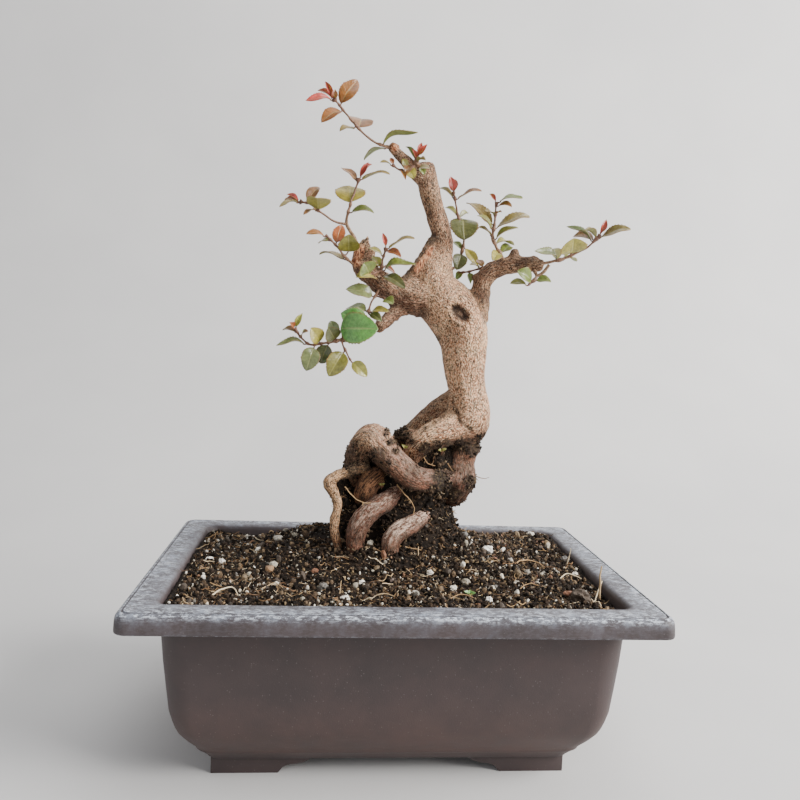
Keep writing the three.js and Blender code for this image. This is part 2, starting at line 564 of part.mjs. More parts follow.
// A thin leaf blade, arched along its length. A wide one is folded up along its midrib too.
function blade(from, base, tip, width, facing) {
  const along = tip.clone().sub(base);
  const length = along.length();
  along.normalize();
  const turn = THREE.MathUtils.degToRad(facing);
  const up = new THREE.Vector3(0, -Math.cos(turn), Math.sin(turn));
  up.addScaledVector(along, -up.dot(along)).normalize();
  const across = along.clone().cross(up);
  const wide = width >= WIDE_LEAF;
  const narrow = width < SMALL_LEAF ? SMALL_OUTLINE : NARROW_OUTLINE;
  const slim = width < NARROW_LEAF ? narrow : MEDIUM_OUTLINE;
  const outline = wide ? WIDE_OUTLINE : slim;
  const rings = outline.map(([share, halfShare]) => {
    const half = Math.max(BLADE_LEAST, 0.5 * width * halfShare);
    const rise = BLADE_ARCH * length * 4 * share * (1 - share);
    const spine = base.clone().addScaledVector(along, share * length);
    const middle = spine.addScaledVector(up, rise - BLADE_THICKNESS / 2);
    const fold = wide ? BLADE_FOLD : 0;
    const edge = (side) => {
      return middle.clone().addScaledVector(across, side * half * Math.cos(fold))
        .addScaledVector(up, half * Math.sin(fold));
    };
    const lower = wide ? [edge(1), middle, edge(-1)] : [edge(1), edge(-1)];
    return [...lower, ...lower.toReversed().map((p) => p.clone().addScaledVector(up, BLADE_THICKNESS))];
  });
  const reach = base.clone().sub(from);
  if (reach.length() > STALK_LEAST) {
    rings.unshift(rings[0].map((p) => p.clone().sub(reach)));
  }
  return solid(skin(rings));
}

function makeShoot({ stems, leaves }) {
  const pieces = stems.map((points) => limb(points, STEM_SIDES, 1));
  const stemPoints = stems.flatMap((points) => {
    const places = points.map(([x, z, y]) => seen(x, z, y));
    return new THREE.CatmullRomCurve3(places, false, "centripetal").getPoints(STEM_SAMPLES);
  });
  for (const [x, z, y, tipX, tipZ, tipY, width, facing] of leaves) {
    const base = seen(x, z, y);
    const tip = seen(tipX, tipZ, tipY);
    const from = stemPoints.reduce((best, p) => (p.distanceTo(base) < best.distanceTo(base) ? p : best));
    pieces.push(blade(from, from.distanceTo(base) > STALK_LEAST ? base : from, tip, width, facing));
  }
  return join(pieces);
}

// The soil's height, which rises round the roots
function moundHeight(x, y) {
  const lengthways = Math.pow((x - MOUND.x) / MOUND.halfLength, 4);
  const widthways = Math.pow((y - MOUND.y) / MOUND.halfWidth, 2);
  const mound = MOUND.height * Math.exp(-lengthways - widthways);
  return SOIL_HEAPS.reduce((height, heap) => {
    const far = Math.pow((x - heap.x) / heap.halfLength, 2) + Math.pow((y - heap.y) / heap.halfWidth, 2);
    return height + heap.rise * Math.exp(-far);
  }, SOIL_LEVEL + mound);
}

// The ground: a block whose top follows the mound, roughened by a seeded jitter
function makeTerrain() {
  const random = randomFrom(11);
  const halfLength = RIM_LENGTH / 2 - FLANGE_WIDTH + TERRAIN_OVERLAP;
  const halfWidth = RIM_WIDTH / 2 - FLANGE_WIDTH + TERRAIN_OVERLAP;
  const columns = Math.round((2 * halfLength) / SOIL_CELL);
  const rows = Math.round((2 * halfWidth) / SOIL_CELL);
  const block = new THREE.BoxGeometry(2 * halfLength, 2 * halfWidth, 1, columns, rows, 1);
  const position = block.attributes.position;
  const jitter = new Map();
  for (let i = 0; i < position.count; i++) {
    const x = position.getX(i);
    const y = position.getY(i);
    if (position.getZ(i) < 0) {
      position.setZ(i, 0);
      continue;
    }
    const key = Math.round(x * 10) + ":" + Math.round(y * 10);
    if (!jitter.has(key)) jitter.set(key, SOIL_RELIEF * (2 * random() - 1));
    position.setZ(i, moundHeight(x, y) + jitter.get(key));
  }
  return solid(block);
}

// Soil packed between the roots, as rough rings one above the other
function makeRootSoil(random) {
  return solid(skin(ROOT_SOIL.map(([z, cx, cy, rx, ry]) => {
    return Array.from({ length: ROOT_SOIL_SIDES }, (_, i) => {
      const angle = (2 * Math.PI * i) / ROOT_SOIL_SIDES;
      const rough = 1 + ROOT_SOIL_ROUGHNESS * (2 * random() - 1);
      return new THREE.Vector3(cx + rx * rough * Math.cos(angle), cy + ry * rough * Math.sin(angle), z);
    });
  })));
}

function makePebble(random) {
  const x = PEBBLES.length * (random() - 0.5);
  const y = PEBBLES.width * (random() - 0.5);
  const size = THREE.MathUtils.lerp(PEBBLES.least, PEBBLES.most, random());
  const stone = new THREE.IcosahedronGeometry(size, 0);
  stone.scale(1, PEBBLES.breadth, PEBBLES.height).rotateZ(2 * Math.PI * random());
  return solid(stone.translate(x, y, moundHeight(x, y) + PEBBLES.lift));
}

// The pot's filling, from the floor up, cut to the pot's inside and round the roots with a small clearance.
// Every second ring of the inside is enough for its hidden sides.
function makeSoil(treeWithClearance) {
  const block = skin([
    ...insideRings(GAP).reverse().filter((_, i) => i % 2 === 0),
    potRing(POT_HEIGHT - MOUTH_DROP, FLANGE_WIDTH + GAP, MOUTH_CORNER),
    potRing(POT_HEIGHT + SOIL_HEADROOM, FLANGE_WIDTH + GAP, MOUTH_CORNER),
  ]);
  const ground = solid(block).intersect(makeTerrain());
  const random = randomFrom(5);
  const rootSoil = makeRootSoil(random);
  const pebbles = Array.from({ length: PEBBLES.count }, () => makePebble(random));
  return mainBody(join([ground, rootSoil, ...pebbles]).subtract(treeWithClearance));
}

function finish(name, color, roughness) {
  return new THREE.MeshStandardMaterial({ name, color, roughness, metalness: 0 });
}

const finishes = {
  plastic: finish("pot_plastic", 0x4b4445, 0.6),
  soil: finish("soil", 0x3a2f27, 0.95),
  bark: finish("bark", 0x8f735a, 0.85),
  leaf: finish("leaf", 0x7c8447, 0.5),
};

const bonsai = new THREE.Group();
function add(name, cut, material) {
  const mesh = new THREE.Mesh(geometryOf(cut), material);
  mesh.name = name;
  bonsai.add(mesh);
}

const treeWithClearance = makeTree(GAP);
add("pot", makePot(), finishes.plastic);
add("soil", makeSoil(treeWithClearance), finishes.soil);
add("trunk_and_roots", makeTree(), finishes.bark);
for (const [name, shoot] of Object.entries(SHOOTS)) {
  add(name, mainBody(makeShoot(shoot).subtract(treeWithClearance)), finishes.leaf);
}

export default bonsai;
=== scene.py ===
"""The looks of a small potted sageretia bonsai: bark, bare roots, leaves, gritty soil and a dusty pot."""

import itertools
import json
import math
import random
from types import SimpleNamespace

import bmesh
import bpy
import numpy as np
from mathutils import Matrix, Vector
from mathutils import noise as field

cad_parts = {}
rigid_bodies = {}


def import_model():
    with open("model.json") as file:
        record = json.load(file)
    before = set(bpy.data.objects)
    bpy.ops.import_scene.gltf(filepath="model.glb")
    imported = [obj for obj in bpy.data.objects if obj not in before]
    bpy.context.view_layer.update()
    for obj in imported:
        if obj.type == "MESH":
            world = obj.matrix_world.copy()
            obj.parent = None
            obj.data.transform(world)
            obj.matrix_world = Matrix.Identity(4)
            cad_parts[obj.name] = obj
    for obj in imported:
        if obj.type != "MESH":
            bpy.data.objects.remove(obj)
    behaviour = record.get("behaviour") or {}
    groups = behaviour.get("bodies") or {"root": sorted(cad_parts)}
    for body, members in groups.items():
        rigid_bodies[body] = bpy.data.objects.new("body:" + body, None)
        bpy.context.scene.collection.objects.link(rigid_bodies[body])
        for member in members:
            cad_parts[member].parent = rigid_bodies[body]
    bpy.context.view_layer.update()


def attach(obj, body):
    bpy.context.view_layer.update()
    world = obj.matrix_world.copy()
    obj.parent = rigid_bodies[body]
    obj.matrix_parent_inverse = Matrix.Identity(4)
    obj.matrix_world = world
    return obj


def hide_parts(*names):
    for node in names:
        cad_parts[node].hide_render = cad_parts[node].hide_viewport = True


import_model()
MM = 0.001
# The small bends of twigs, rootlets and strands are drawn from this seed
WOBBLE_SEED = 4

# Pot, in millimetres. The wall's outline is given as height and inset from the rim's edge.
RIM_LENGTH = 205
RIM_WIDTH = 147
POT_HEIGHT = 75
LIP_DROP = 7.5
LIP_WALL = 2
FLANGE_WIDTH = 13.3
WALL = 1.8
INSIDE_HEIGHTS = [64, 56, 48, 40, 32, 26, 22, 18, 15, 13, 11.5, 10.2]
FLOOR_FILLET = 2.2
CORNER_STEPS = 14
FLOOR_UNDERSIDE = 7
FLOOR_THICKNESS = 2.5
FOOT_INSET = 31.3
FOOT_THICKNESS = 7
FOOT_SHORT_SHARE = 0.8
FOOT_EDGE = 0.6
FOOT_SCROLL = [
    (0, 0), (26.4, 0), (27.2, 0.9), (28.1, 2.1), (29.5, 2.95), (31.5, 3.4), (34, 3.7), (36, 4.15),
    (37.8, 4.85), (39.4, 6.1), (40.4, 7.3), (41, 8.2), (0, 8.2),
]
DRAIN_HOLE = 3.6
DRAIN_PITCH = 6
DRAIN_CENTRE = 34
WALL_PROFILE = [
    (72.8, 11.6), (62, 12.5), (50, 13.5), (40, 14.6), (30, 15.8), (26, 16.8), (22.6, 17.9), (20.4, 18.9),
    (18.6, 20.1), (16.7, 21.4), (15, 22.8), (13.4, 24.1), (12.2, 24.9), (11.6, 25.1), (11.3, 25.5),
    (7.8, 28.7), (7.3, 29), (7, 29.4),
]
BODY_CORNER_TOP = 13
BODY_CORNER_BOTTOM = 6

# Soil, in millimetres
SOIL_LEVEL = 72.2
MOUND = {"height": 14.3, "x": -1, "y": 16, "half_length": 56, "half_width": 30}
# Hollows and heaps of the soil: rise, middle x and y, half length and half width
SOIL_HEAPS = [(-5, -52, 56, 20, 12), (-3, 88, -38, 9, 22), (3.5, 74, 48, 16, 13), (5, -7, -11, 19, 9)]

# The soil that the roots hold: height, middle x and y, half length and half width
ROOT_SOIL = [
    (72, 4, 11, 38, 26), (80, 4, 11, 35, 22), (84, 4, 11, 31.5, 19), (88, 3.5, 11, 28, 16),
    (92, 3, 11, 27.5, 14.5), (96, 2.5, 10.5, 27, 13.5), (99, 1, 10.5, 25.5, 13), (102, 0.7, 10, 25.2, 12.5),
    (106, 3.5, 10, 28.5, 12), (112, 6, 10, 25, 10), (119, 9, 9, 21, 8), (126, 18, 9, 11, 4.5),
]
GROUND_STEP = 1.4
BED_HALF_LENGTH = RIM_LENGTH / 2 - FLANGE_WIDTH - 0.6
BED_HALF_WIDTH = RIM_WIDTH / 2 - FLANGE_WIDTH - 0.6
BED_CORNER = 8.5

# What is strewn: the piece, its shapes, its finish, the mark that says where, grains a square metre, smallest
# and largest size, lift as a share of the size, tilt in radians, and seed
STREWN = [
    ("peat_crumbs", "crumbs", "peat", "loose", 295000.0, 0.45, 1.45, 0.5, 3.2, 11),
    ("fine_grit", "chips", "grit", "stony", 300000.0, 0.22, 0.85, 0.9, 3.2, 23),
    ("grit_stones", "stones", "grit", "stony", 13000.0, 0.65, 2.2, 0.5, 3.2, 31),
    ("coir_fibres", "fibres", "fibre", "fibrous", 80000.0, 0.25, 0.8, 1.4, 0.5, 41),
    ("straw_bits", "straws", "fibre", "fibrous", 235000.0, 0.1, 0.36, 2.6, 0.7, 43),
    ("clinging_soil", "crumbs", "peat", "cling", 2050000.0, 0.2, 0.76, 0.3, 3.2, 51),
]

# Larger stones on the soil: x, y, half length and tone
STONES = [
    (45.3, 2.2, 2.6, 1), (29.8, -28, 2.3, 0.8), (-50.7, 14.5, 2, 0.93), (-73.9, -1.2, 2, 1),
    (-80.1, 4.2, 1.7, 1), (77, 49, 1.9, 0.93), (85, 14, 2.2, 0.7), (74, -42, 4, 0.3),
    (23.5, -34.5, 1.9, 0.93), (7.7, -39.4, 1.6, 0.97), (-9.6, -7.6, 1.8, 0.9), (-48, -31.7, 1.6, 0.9),
    (36.3, -46, 1.7, 1), (71, -37.3, 1.9, 0.66), (-29.4, -34.2, 2.1, 0.72), (-33, -20.8, 1.6, 0.66),
    (15.6, -21.5, 1.6, 0.95), (-20.7, -46.7, 1.9, 0.97), (-43, 12, 1.5, 0.8), (52, -26, 1.5, 0.84),
    (-60, -20, 1.5, 0.84), (60, -12, 1.7, 0.75), (-14, -30, 1.6, 0.98), (83, -8, 1.6, 0.93),
    (40, -33, 1.5, 0.9),
]

# Dry strands on the soil: thickness, then x, y and rise above the soil
STRANDS = [
    (0.35, (55.3, -5.8, 0.6), (59.6, -2, 1.8), (65.1, 2.2, 1.6), (68.9, 1.2, 1.4), (71, -1.4, 0.4)),
    (0.5, (84.5, -36.5, -1), (84.6, -36.6, 5), (84.4, -36.4, 11), (84.8, -36.5, 15)),
    (0.3, (80.6, -41, 0), (83, -38, 2.6), (85.6, -33, 5.4), (87.6, -30, 6.6)),
    (0.35, (1.4, -8.3, 1), (8.2, -8.4, 1.2), (16.6, -8.5, 1.1)),
    (0.25, (11.3, -12.3, 0.8), (11.8, -8, 2), (12, -5, 0.8)),
    (0.35, (-72.2, -45.2, 0.6), (-68.7, -41, 2), (-64.5, -38.2, 1.6), (-62.1, -43.7, 0.6)),
    (0.3, (-82.6, -44.2, 0.6), (-77.9, -50.9, 1.2)),
    (0.25, (-22.7, -42, 0.3), (-22.5, -41, 3), (-22.2, -40, 5.5)),
    (0.3, (73.7, -16.4, 0.6), (78, -13, 2.2), (84, -14, 0.8)),
    (0.25, (52, -32.3, 0.6), (57, -29, 1.8), (63, -31, 0.8)),
    (0.25, (-53.5, -36.3, 0.5), (-49, -33, 1.6), (-44, -38, 0.6)),
    (0.3, (84, 8, 0), (85, 7, 5), (85.2, 6.6, 8)),
    (0.25, (20.8, -45.3, 0.5), (26, -43, 1.6), (31, -45, 0.6)),
    (0.25, (-11, -46.4, 0.5), (-6, -43, 1.4), (-1, -44, 0.6)),
]

# The tree's places are read on an upright plane through it, as seen from a viewpoint in front of the pot.
READING_PLANE = 5
VIEWPOINT = np.array([-29.9, -349.6, 174.7])

# Trunk, branches and roots: x, z, depth y, radius
LIMBS = {
    "trunk": [
        (22, 134.5, 5, 6.4), (29, 135.5, 7, 8), (33.4, 138, 8, 9.6), (33.9, 144, 8.5, 9.3),
        (32.5, 152, 8.5, 8.5), (31, 160, 8, 9), (30.2, 170, 7.5, 10.2), (28.8, 179, 7, 11.6),
        (24, 187, 7, 12.3), (18, 193.5, 7, 11.6), (15, 200.5, 7, 9.7), (15.5, 207.5, 7.5, 8),
        (17.6, 214, 8, 5.4), (17.8, 220, 8, 4.6), (14.6, 230, 9, 4.2), (11.2, 240, 10, 4.5),
        (9.6, 247, 10.5, 4.3), (9.2, 250.5, 10.5, 3.8),
    ],
    "left_limb": [
        (18, 192, 7, 9), (8, 193.5, 5, 8.6), (1, 194, 3, 7.2), (-6, 197.5, 1, 5.2), (-12, 201.3, -1, 4.5),
        (-17.5, 205.5, -2, 4), (-18.8, 210, -2, 2.6), (-16.6, 216.8, -2, 0.8),
    ],
    "low_limb": [(4, 189, 4, 3.8), (-1, 186, 1, 3.1), (-5.5, 182.5, -3, 2.7), (-8.8, 179.2, -6, 2.5)],
    "right_branch": [
        (30, 178, 7, 7.4), (34.3, 187, 6, 6.2), (36, 194, 5.5, 4.6), (36.8, 200, 5, 4.1), (40, 205.5, 4, 4),
        (45.5, 208.3, 2.5, 3.8), (52, 209.8, 1, 3.6), (58, 210, -1, 3.3), (63, 209.8, -2, 2.7),
    ],
    "branch_knob": [(51, 209, 1, 2.4), (51, 213, 1, 2.1), (51, 216, 1, 1.8)],
    "branch_bump": [(59, 209, -1, 2.4), (60.3, 213, -1, 1.7)],
    "elbow_bump": [(37, 200, 5, 2.4), (33.4, 204, 5, 1.7)],
    "top_limb": [(11, 243, 10, 3.7), (6, 246.5, 9, 3.2), (1.5, 251, 7, 2.7), (-3, 254.8, 5.5, 2.2),
    (-6.3, 257.7, 4.8, 1.8)],
    "front_root": [
        (36, 136, 9, 8.4), (27, 134.8, 5, 7), (19, 132, 2, 6.1), (12.5, 128, 2, 5.2), (9, 122, 5, 4.8),
        (9, 113, 10, 4.6),
    ],
    "back_root": [
        (31, 150, 12, 6.6), (22, 143.2, 15, 6.4), (14, 137, 17, 5.8), (7, 129, 19, 5.4), (2, 118, 21, 5.2),
        (-1, 102, 23, 4.8), (-6, 86, 25, 4.1), (-12, 76, 26, 3.2),
    ],
    "root_knob": [(10, 129, 6, 4.4), (4.5, 130, 9, 4.1), (0.5, 125, 12, 4)],
    "right_root": [
        (32, 133, 9, 6), (32.5, 127, 9.5, 6.4), (31, 120.5, 10, 6), (30.4, 112, 9, 7.8), (28, 106, 10, 6.4),
        (24, 102, 12, 4.2),
    ],
    "back_right_root": [(32, 122, 13, 5.6), (29, 112, 17, 4.6), (21.5, 102, 22, 4), (17, 92, 25, 3.8),
    (14, 83, 27, 3.4)],
    "back_coil": [
        (24, 127, 15, 5), (15, 121, 22, 4.4), (4, 112, 26.5, 4.2), (-6, 103, 24, 4), (-12, 96, 17, 4),
        (-13, 88, 10, 3.6),
    ],
    "arch_root": [
        (28, 112, 9, 4.6), (14, 110.8, -2, 5.4), (8, 112.6, -5, 5.8), (2, 117.5, -5, 6), (-4, 123.6, -3, 6.4),
        (-9, 129.2, 0, 6.8), (-13.6, 125.6, 3, 6.2), (-16, 119, 5, 5.4), (-16.5, 111, 8, 4.8),
        (-13, 101, 10, 4.3),
    ],
    "red_root": [(-4, 114, 8, 4.4), (-9.4, 110, 0, 4.9), (-12, 105, 1, 4.6), (-12, 98, 7, 4)],
    "slant_root": [
        (9, 116, 9, 4), (6, 109.5, 5, 4), (1, 104, 1, 4), (-4, 99.6, -4, 4.3), (-9.5, 95.6, -7, 4.4),
        (-13.7, 90.3, -9, 4.4), (-15.2, 84.5, -9, 4.1), (-15.2, 76, -8, 3.5),
    ],
    "low_root": [
        (18, 96.6, 8, 3), (14.2, 93.4, 0, 3.4), (9, 89.7, -6, 3.9), (4, 87, -9, 4.2), (0.8, 83, -10, 4.2),
        (0.5, 74, -9, 3.5),
    ],
    "pale_root": [
        (-11, 117, 0, 2.2), (-19, 114.3, -3, 2.3), (-25.5, 111.4, -5, 2.3), (-28.3, 108.6, -6, 2.7),
        (-25.6, 103.5, -6, 2.2), (-24, 98, -6, 2.1), (-25.2, 92, -6.5, 2.1), (-25, 86.5, -7, 2.1),
        (-23.6, 81, -7, 1.8), (-22, 73, -7, 1.4),
    ],
}

# Splinters on the broken left limb and on the leader's torn top, and the lifted bark of the torn shoulder
SPLINTERS = [
    [(-18.6, 204.5, -3.5, 2.2), (-19.8, 208.5, -3.6, 1.5), (-19.4, 212, -3.4, 0.7),
     (-18.8, 213.6, -3.2, 0.4)],
    [(-16.5, 205, -2, 2.4), (-15.4, 211, -2, 1.6), (-15, 216, -2, 0.8), (-15.2, 218.6, -2, 0.4)],
    [(-14.6, 204, -1, 2.2), (-13.2, 209, -1, 1.4), (-12.8, 212.4, -1, 0.6)],
    [(-18, 207, 0.5, 1.9), (-17.6, 212.4, 0.5, 1.1), (-17.2, 215.6, 0.4, 0.5)],
    [(-12.6, 202.5, -3, 2), (-10.8, 206.5, -3.4, 0.9), (-10.2, 208.6, -3.4, 0.5)],
    [(10.5, 247, 9.5, 2.6), (11.6, 250.5, 9, 1.7)],
    [(7.4, 247.5, 8.5, 2.4), (6.6, 250.4, 7.6, 1.4)],
    [(13.6, 219, 6, 2.2), (11.6, 213.4, 3.6, 2.6), (9.2, 208.6, 2.6, 2.6), (5.4, 203.6, 1.6, 2.2),
     (1.6, 200.4, 0.8, 1.6)],
]

# How red-brown a root is at its start and its end, where the bark of the tree is 0
ROOT_REDNESS = {
    "front_root": (0, 0.14), "back_root": (0, 0.6), "root_knob": (0.4, 0.5), "right_root": (0.75, 1),
    "back_right_root": (0.5, 0.9), "back_coil": (0.5, 0.9), "arch_root": (1, 0.6), "red_root": (1, 1),
    "slant_root": (1, 0.9), "low_root": (0.95, 0.9),
}
ARCH_APEX = (-9, 129.2, 0)

# How much a limb's bark is darkened, and how much dust and painted highlight a root's upper side takes
LIMB_GLOOM = {
    "right_branch": 0.95, "branch_knob": 1.1, "branch_bump": 1, "elbow_bump": 1, "top_limb": 0.75,
    "back_root": 0.5,
    "left_limb": 0.4, "low_limb": 0.6, "back_coil": 0.5, "back_right_root": 0.4, "root_knob": 0.4,
    "slant_root": 0.3,
}
ROOT_DUST_AND_HIGHLIGHT = {
    "slant_root": 0.62, "low_root": 1.2, "arch_root": 0.4, "right_root": 0.4, "front_root": 0.1,
    "red_root": 0,
}

# How far past a limb's end each closing ring lies, and how wide it is, as shares of the limb's radius
ROUND_END = ((0.2, 0.93), (0.36, 0.74), (0.44, 0.4))
BARK_VOXEL = 0.62
ROOT_TOP = 142

# Where the front root has grown into the trunk's foot
TRUNK_FOOT = (31, 138, 2)

# Dark crust of peat and moss on the roots, and dark flakes at the torn wood: x and z on the reading plane,
# reach and strength
CRUSTS = [
    (2.7, 133.5, 3.2, 0.85), (6.5, 130.9, 2.2, 0.6), (3.5, 129, 3, 0.75), (8.8, 128.2, 1.8, 0.7),
    (-3.1, 132.4, 1.6, 0.8), (-1.1, 127.9, 1.5, 0.9), (0.9, 124, 1.4, 0.8), (-17.2, 123.8, 4.4, 0.55),
    (-18.3, 119.3, 4.6, 0.6), (-17.5, 114.5, 4, 0.75), (-6.7, 121.9, 3.6, 0.7), (-3.8, 117, 3.4, 0.6),
    (-10, 117.5, 3, 0.8), (20, 127, 2.6, 0.8), (25.8, 126.5, 2.8, 0.9), (31.3, 127.1, 3, 0.9),
    (35.9, 126.3, 3.4, 0.9), (40, 130, 2.5, 0.8), (21.9, 112.1, 3.6, 1), (24.4, 106.7, 4, 1),
    (20.3, 105.7, 3.4, 0.9), (25.4, 116, 3, 0.8), (34, 116, 3, 0.5), (36.5, 110, 4, 0.85),
    (29, 105, 3.6, 0.8), (16.8, 122.5, 3, 0.9), (14.4, 125.7, 2.6, 0.9), (10.3, 115.5, 2.4, 0.5),
    (14, 219.4, 1.8, 0.8), (12.6, 216.8, 1.5, 0.75), (10.8, 214.2, 1.3, 0.7), (9, 211.6, 1.2, 0.65),
    (7.2, 209, 1.2, 0.65), (5.4, 206.1, 1.3, 0.7), (3.6, 203, 1.4, 0.8), (2.2, 200.6, 1.3, 0.8),
    (-16.2, 217, 1.1, 0.8), (-15.8, 212.5, 0.8, 0.8), (-16, 208.5, 0.7, 0.8), (18, 175.4, 1.2, 0.7),
    (18.6, 172.8, 0.8, 0.6),
]

# Folds in the bark at the trunk's foot: x and z on the reading plane
CREASES = [
    [(10.8, 134.9), (16.8, 140), (23.4, 144), (26.3, 147.1)], [(13.1, 133.8), (19.7, 138.6), (23.5, 141.9)],
    [(24.7, 149.3), (27.6, 144.1), (29.7, 140.4), (30.2, 136.6)], [(27.3, 143.4), (29.8, 138.1),
     (33.7, 135.2), (35.4, 133.7)],
]

# Darker patches on the trunk, most of them along its left side and under the left limb: x and z on the
# reading plane, reach and strength
TRUNK_DARK_PATCHES = [
    (24.5, 178.5, 6, 0.5), (12, 188, 8, 0.4), (3, 190, 8, 0.4), (20, 165, 4, 0.35), (20.5, 153, 3, 0.3),
    (17, 198, 5, 0.25),
]

# Clods of peat that fill the gaps between the roots: x and z on the reading plane, depth and reach
CLODS = [
    (-9.7, 118.6, 8, 4.2), (-7, 113.5, 11, 4.6), (-22.5, 107, 5, 4.2), (-22, 101, 4, 4.6),
    (29.5, 107, 9, 4.2), (2, 122, 12, 6), (14, 124, 10, 5), (20, 119, 6, 5), (-16, 92, 2, 6),
    (24, 90, 6, 4.6), (23, 107, 6, 4.5),
]

# Torn, raw wood: x and z on the reading plane, and reach
RAW_WOOD = [
    (13, 214.4, 1.1), (12.2, 212.6, 1.3), (11, 210.6, 1.4), (9.6, 208.4, 1.4), (8.3, 206.6, 1.3),
    (7.1, 204.8, 1.1), (-17.6, 213.2, 1.3), (-18.7, 210.4, 2), (-19.6, 207.3, 1.9), (-4.9, 258, 2),
]
KNOT = {"x": 27.6, "z": 187, "y": -4.4, "half_length": 5.6, "half_width": 3.3, "depth": 2.2, "tilt": -40}

# Fine rootlets that lie over the roots and soil: x, z, depth y
ROOTLETS = [
    [(-21, 107, -5), (-18.5, 104, -7), (-15.5, 101.3, -8), (-12, 100, -9), (-8, 100, -8)],
    [(-13, 100.5, -9), (-12.6, 98.4, -9)],
    [(2.5, 108.5, -5), (6, 104.4, -7), (9.6, 100.4, -6), (10.8, 98.3, -6), (10.5, 94.5, -7)],
    [(11.8, 117, -5), (14.6, 114.6, -5), (16.6, 111.5, -5), (18, 108, -6)],
    [(14, 121.5, -2), (15.6, 119, -3), (19.5, 117.6, -1)],
    [(25, 119, 0), (27.6, 115.4, -1)],
    [(38, 113.6, 8), (42, 112.4, 7), (44.5, 113, 6)],
    [(36, 115, 8), (39.6, 111.4, 8)],
]

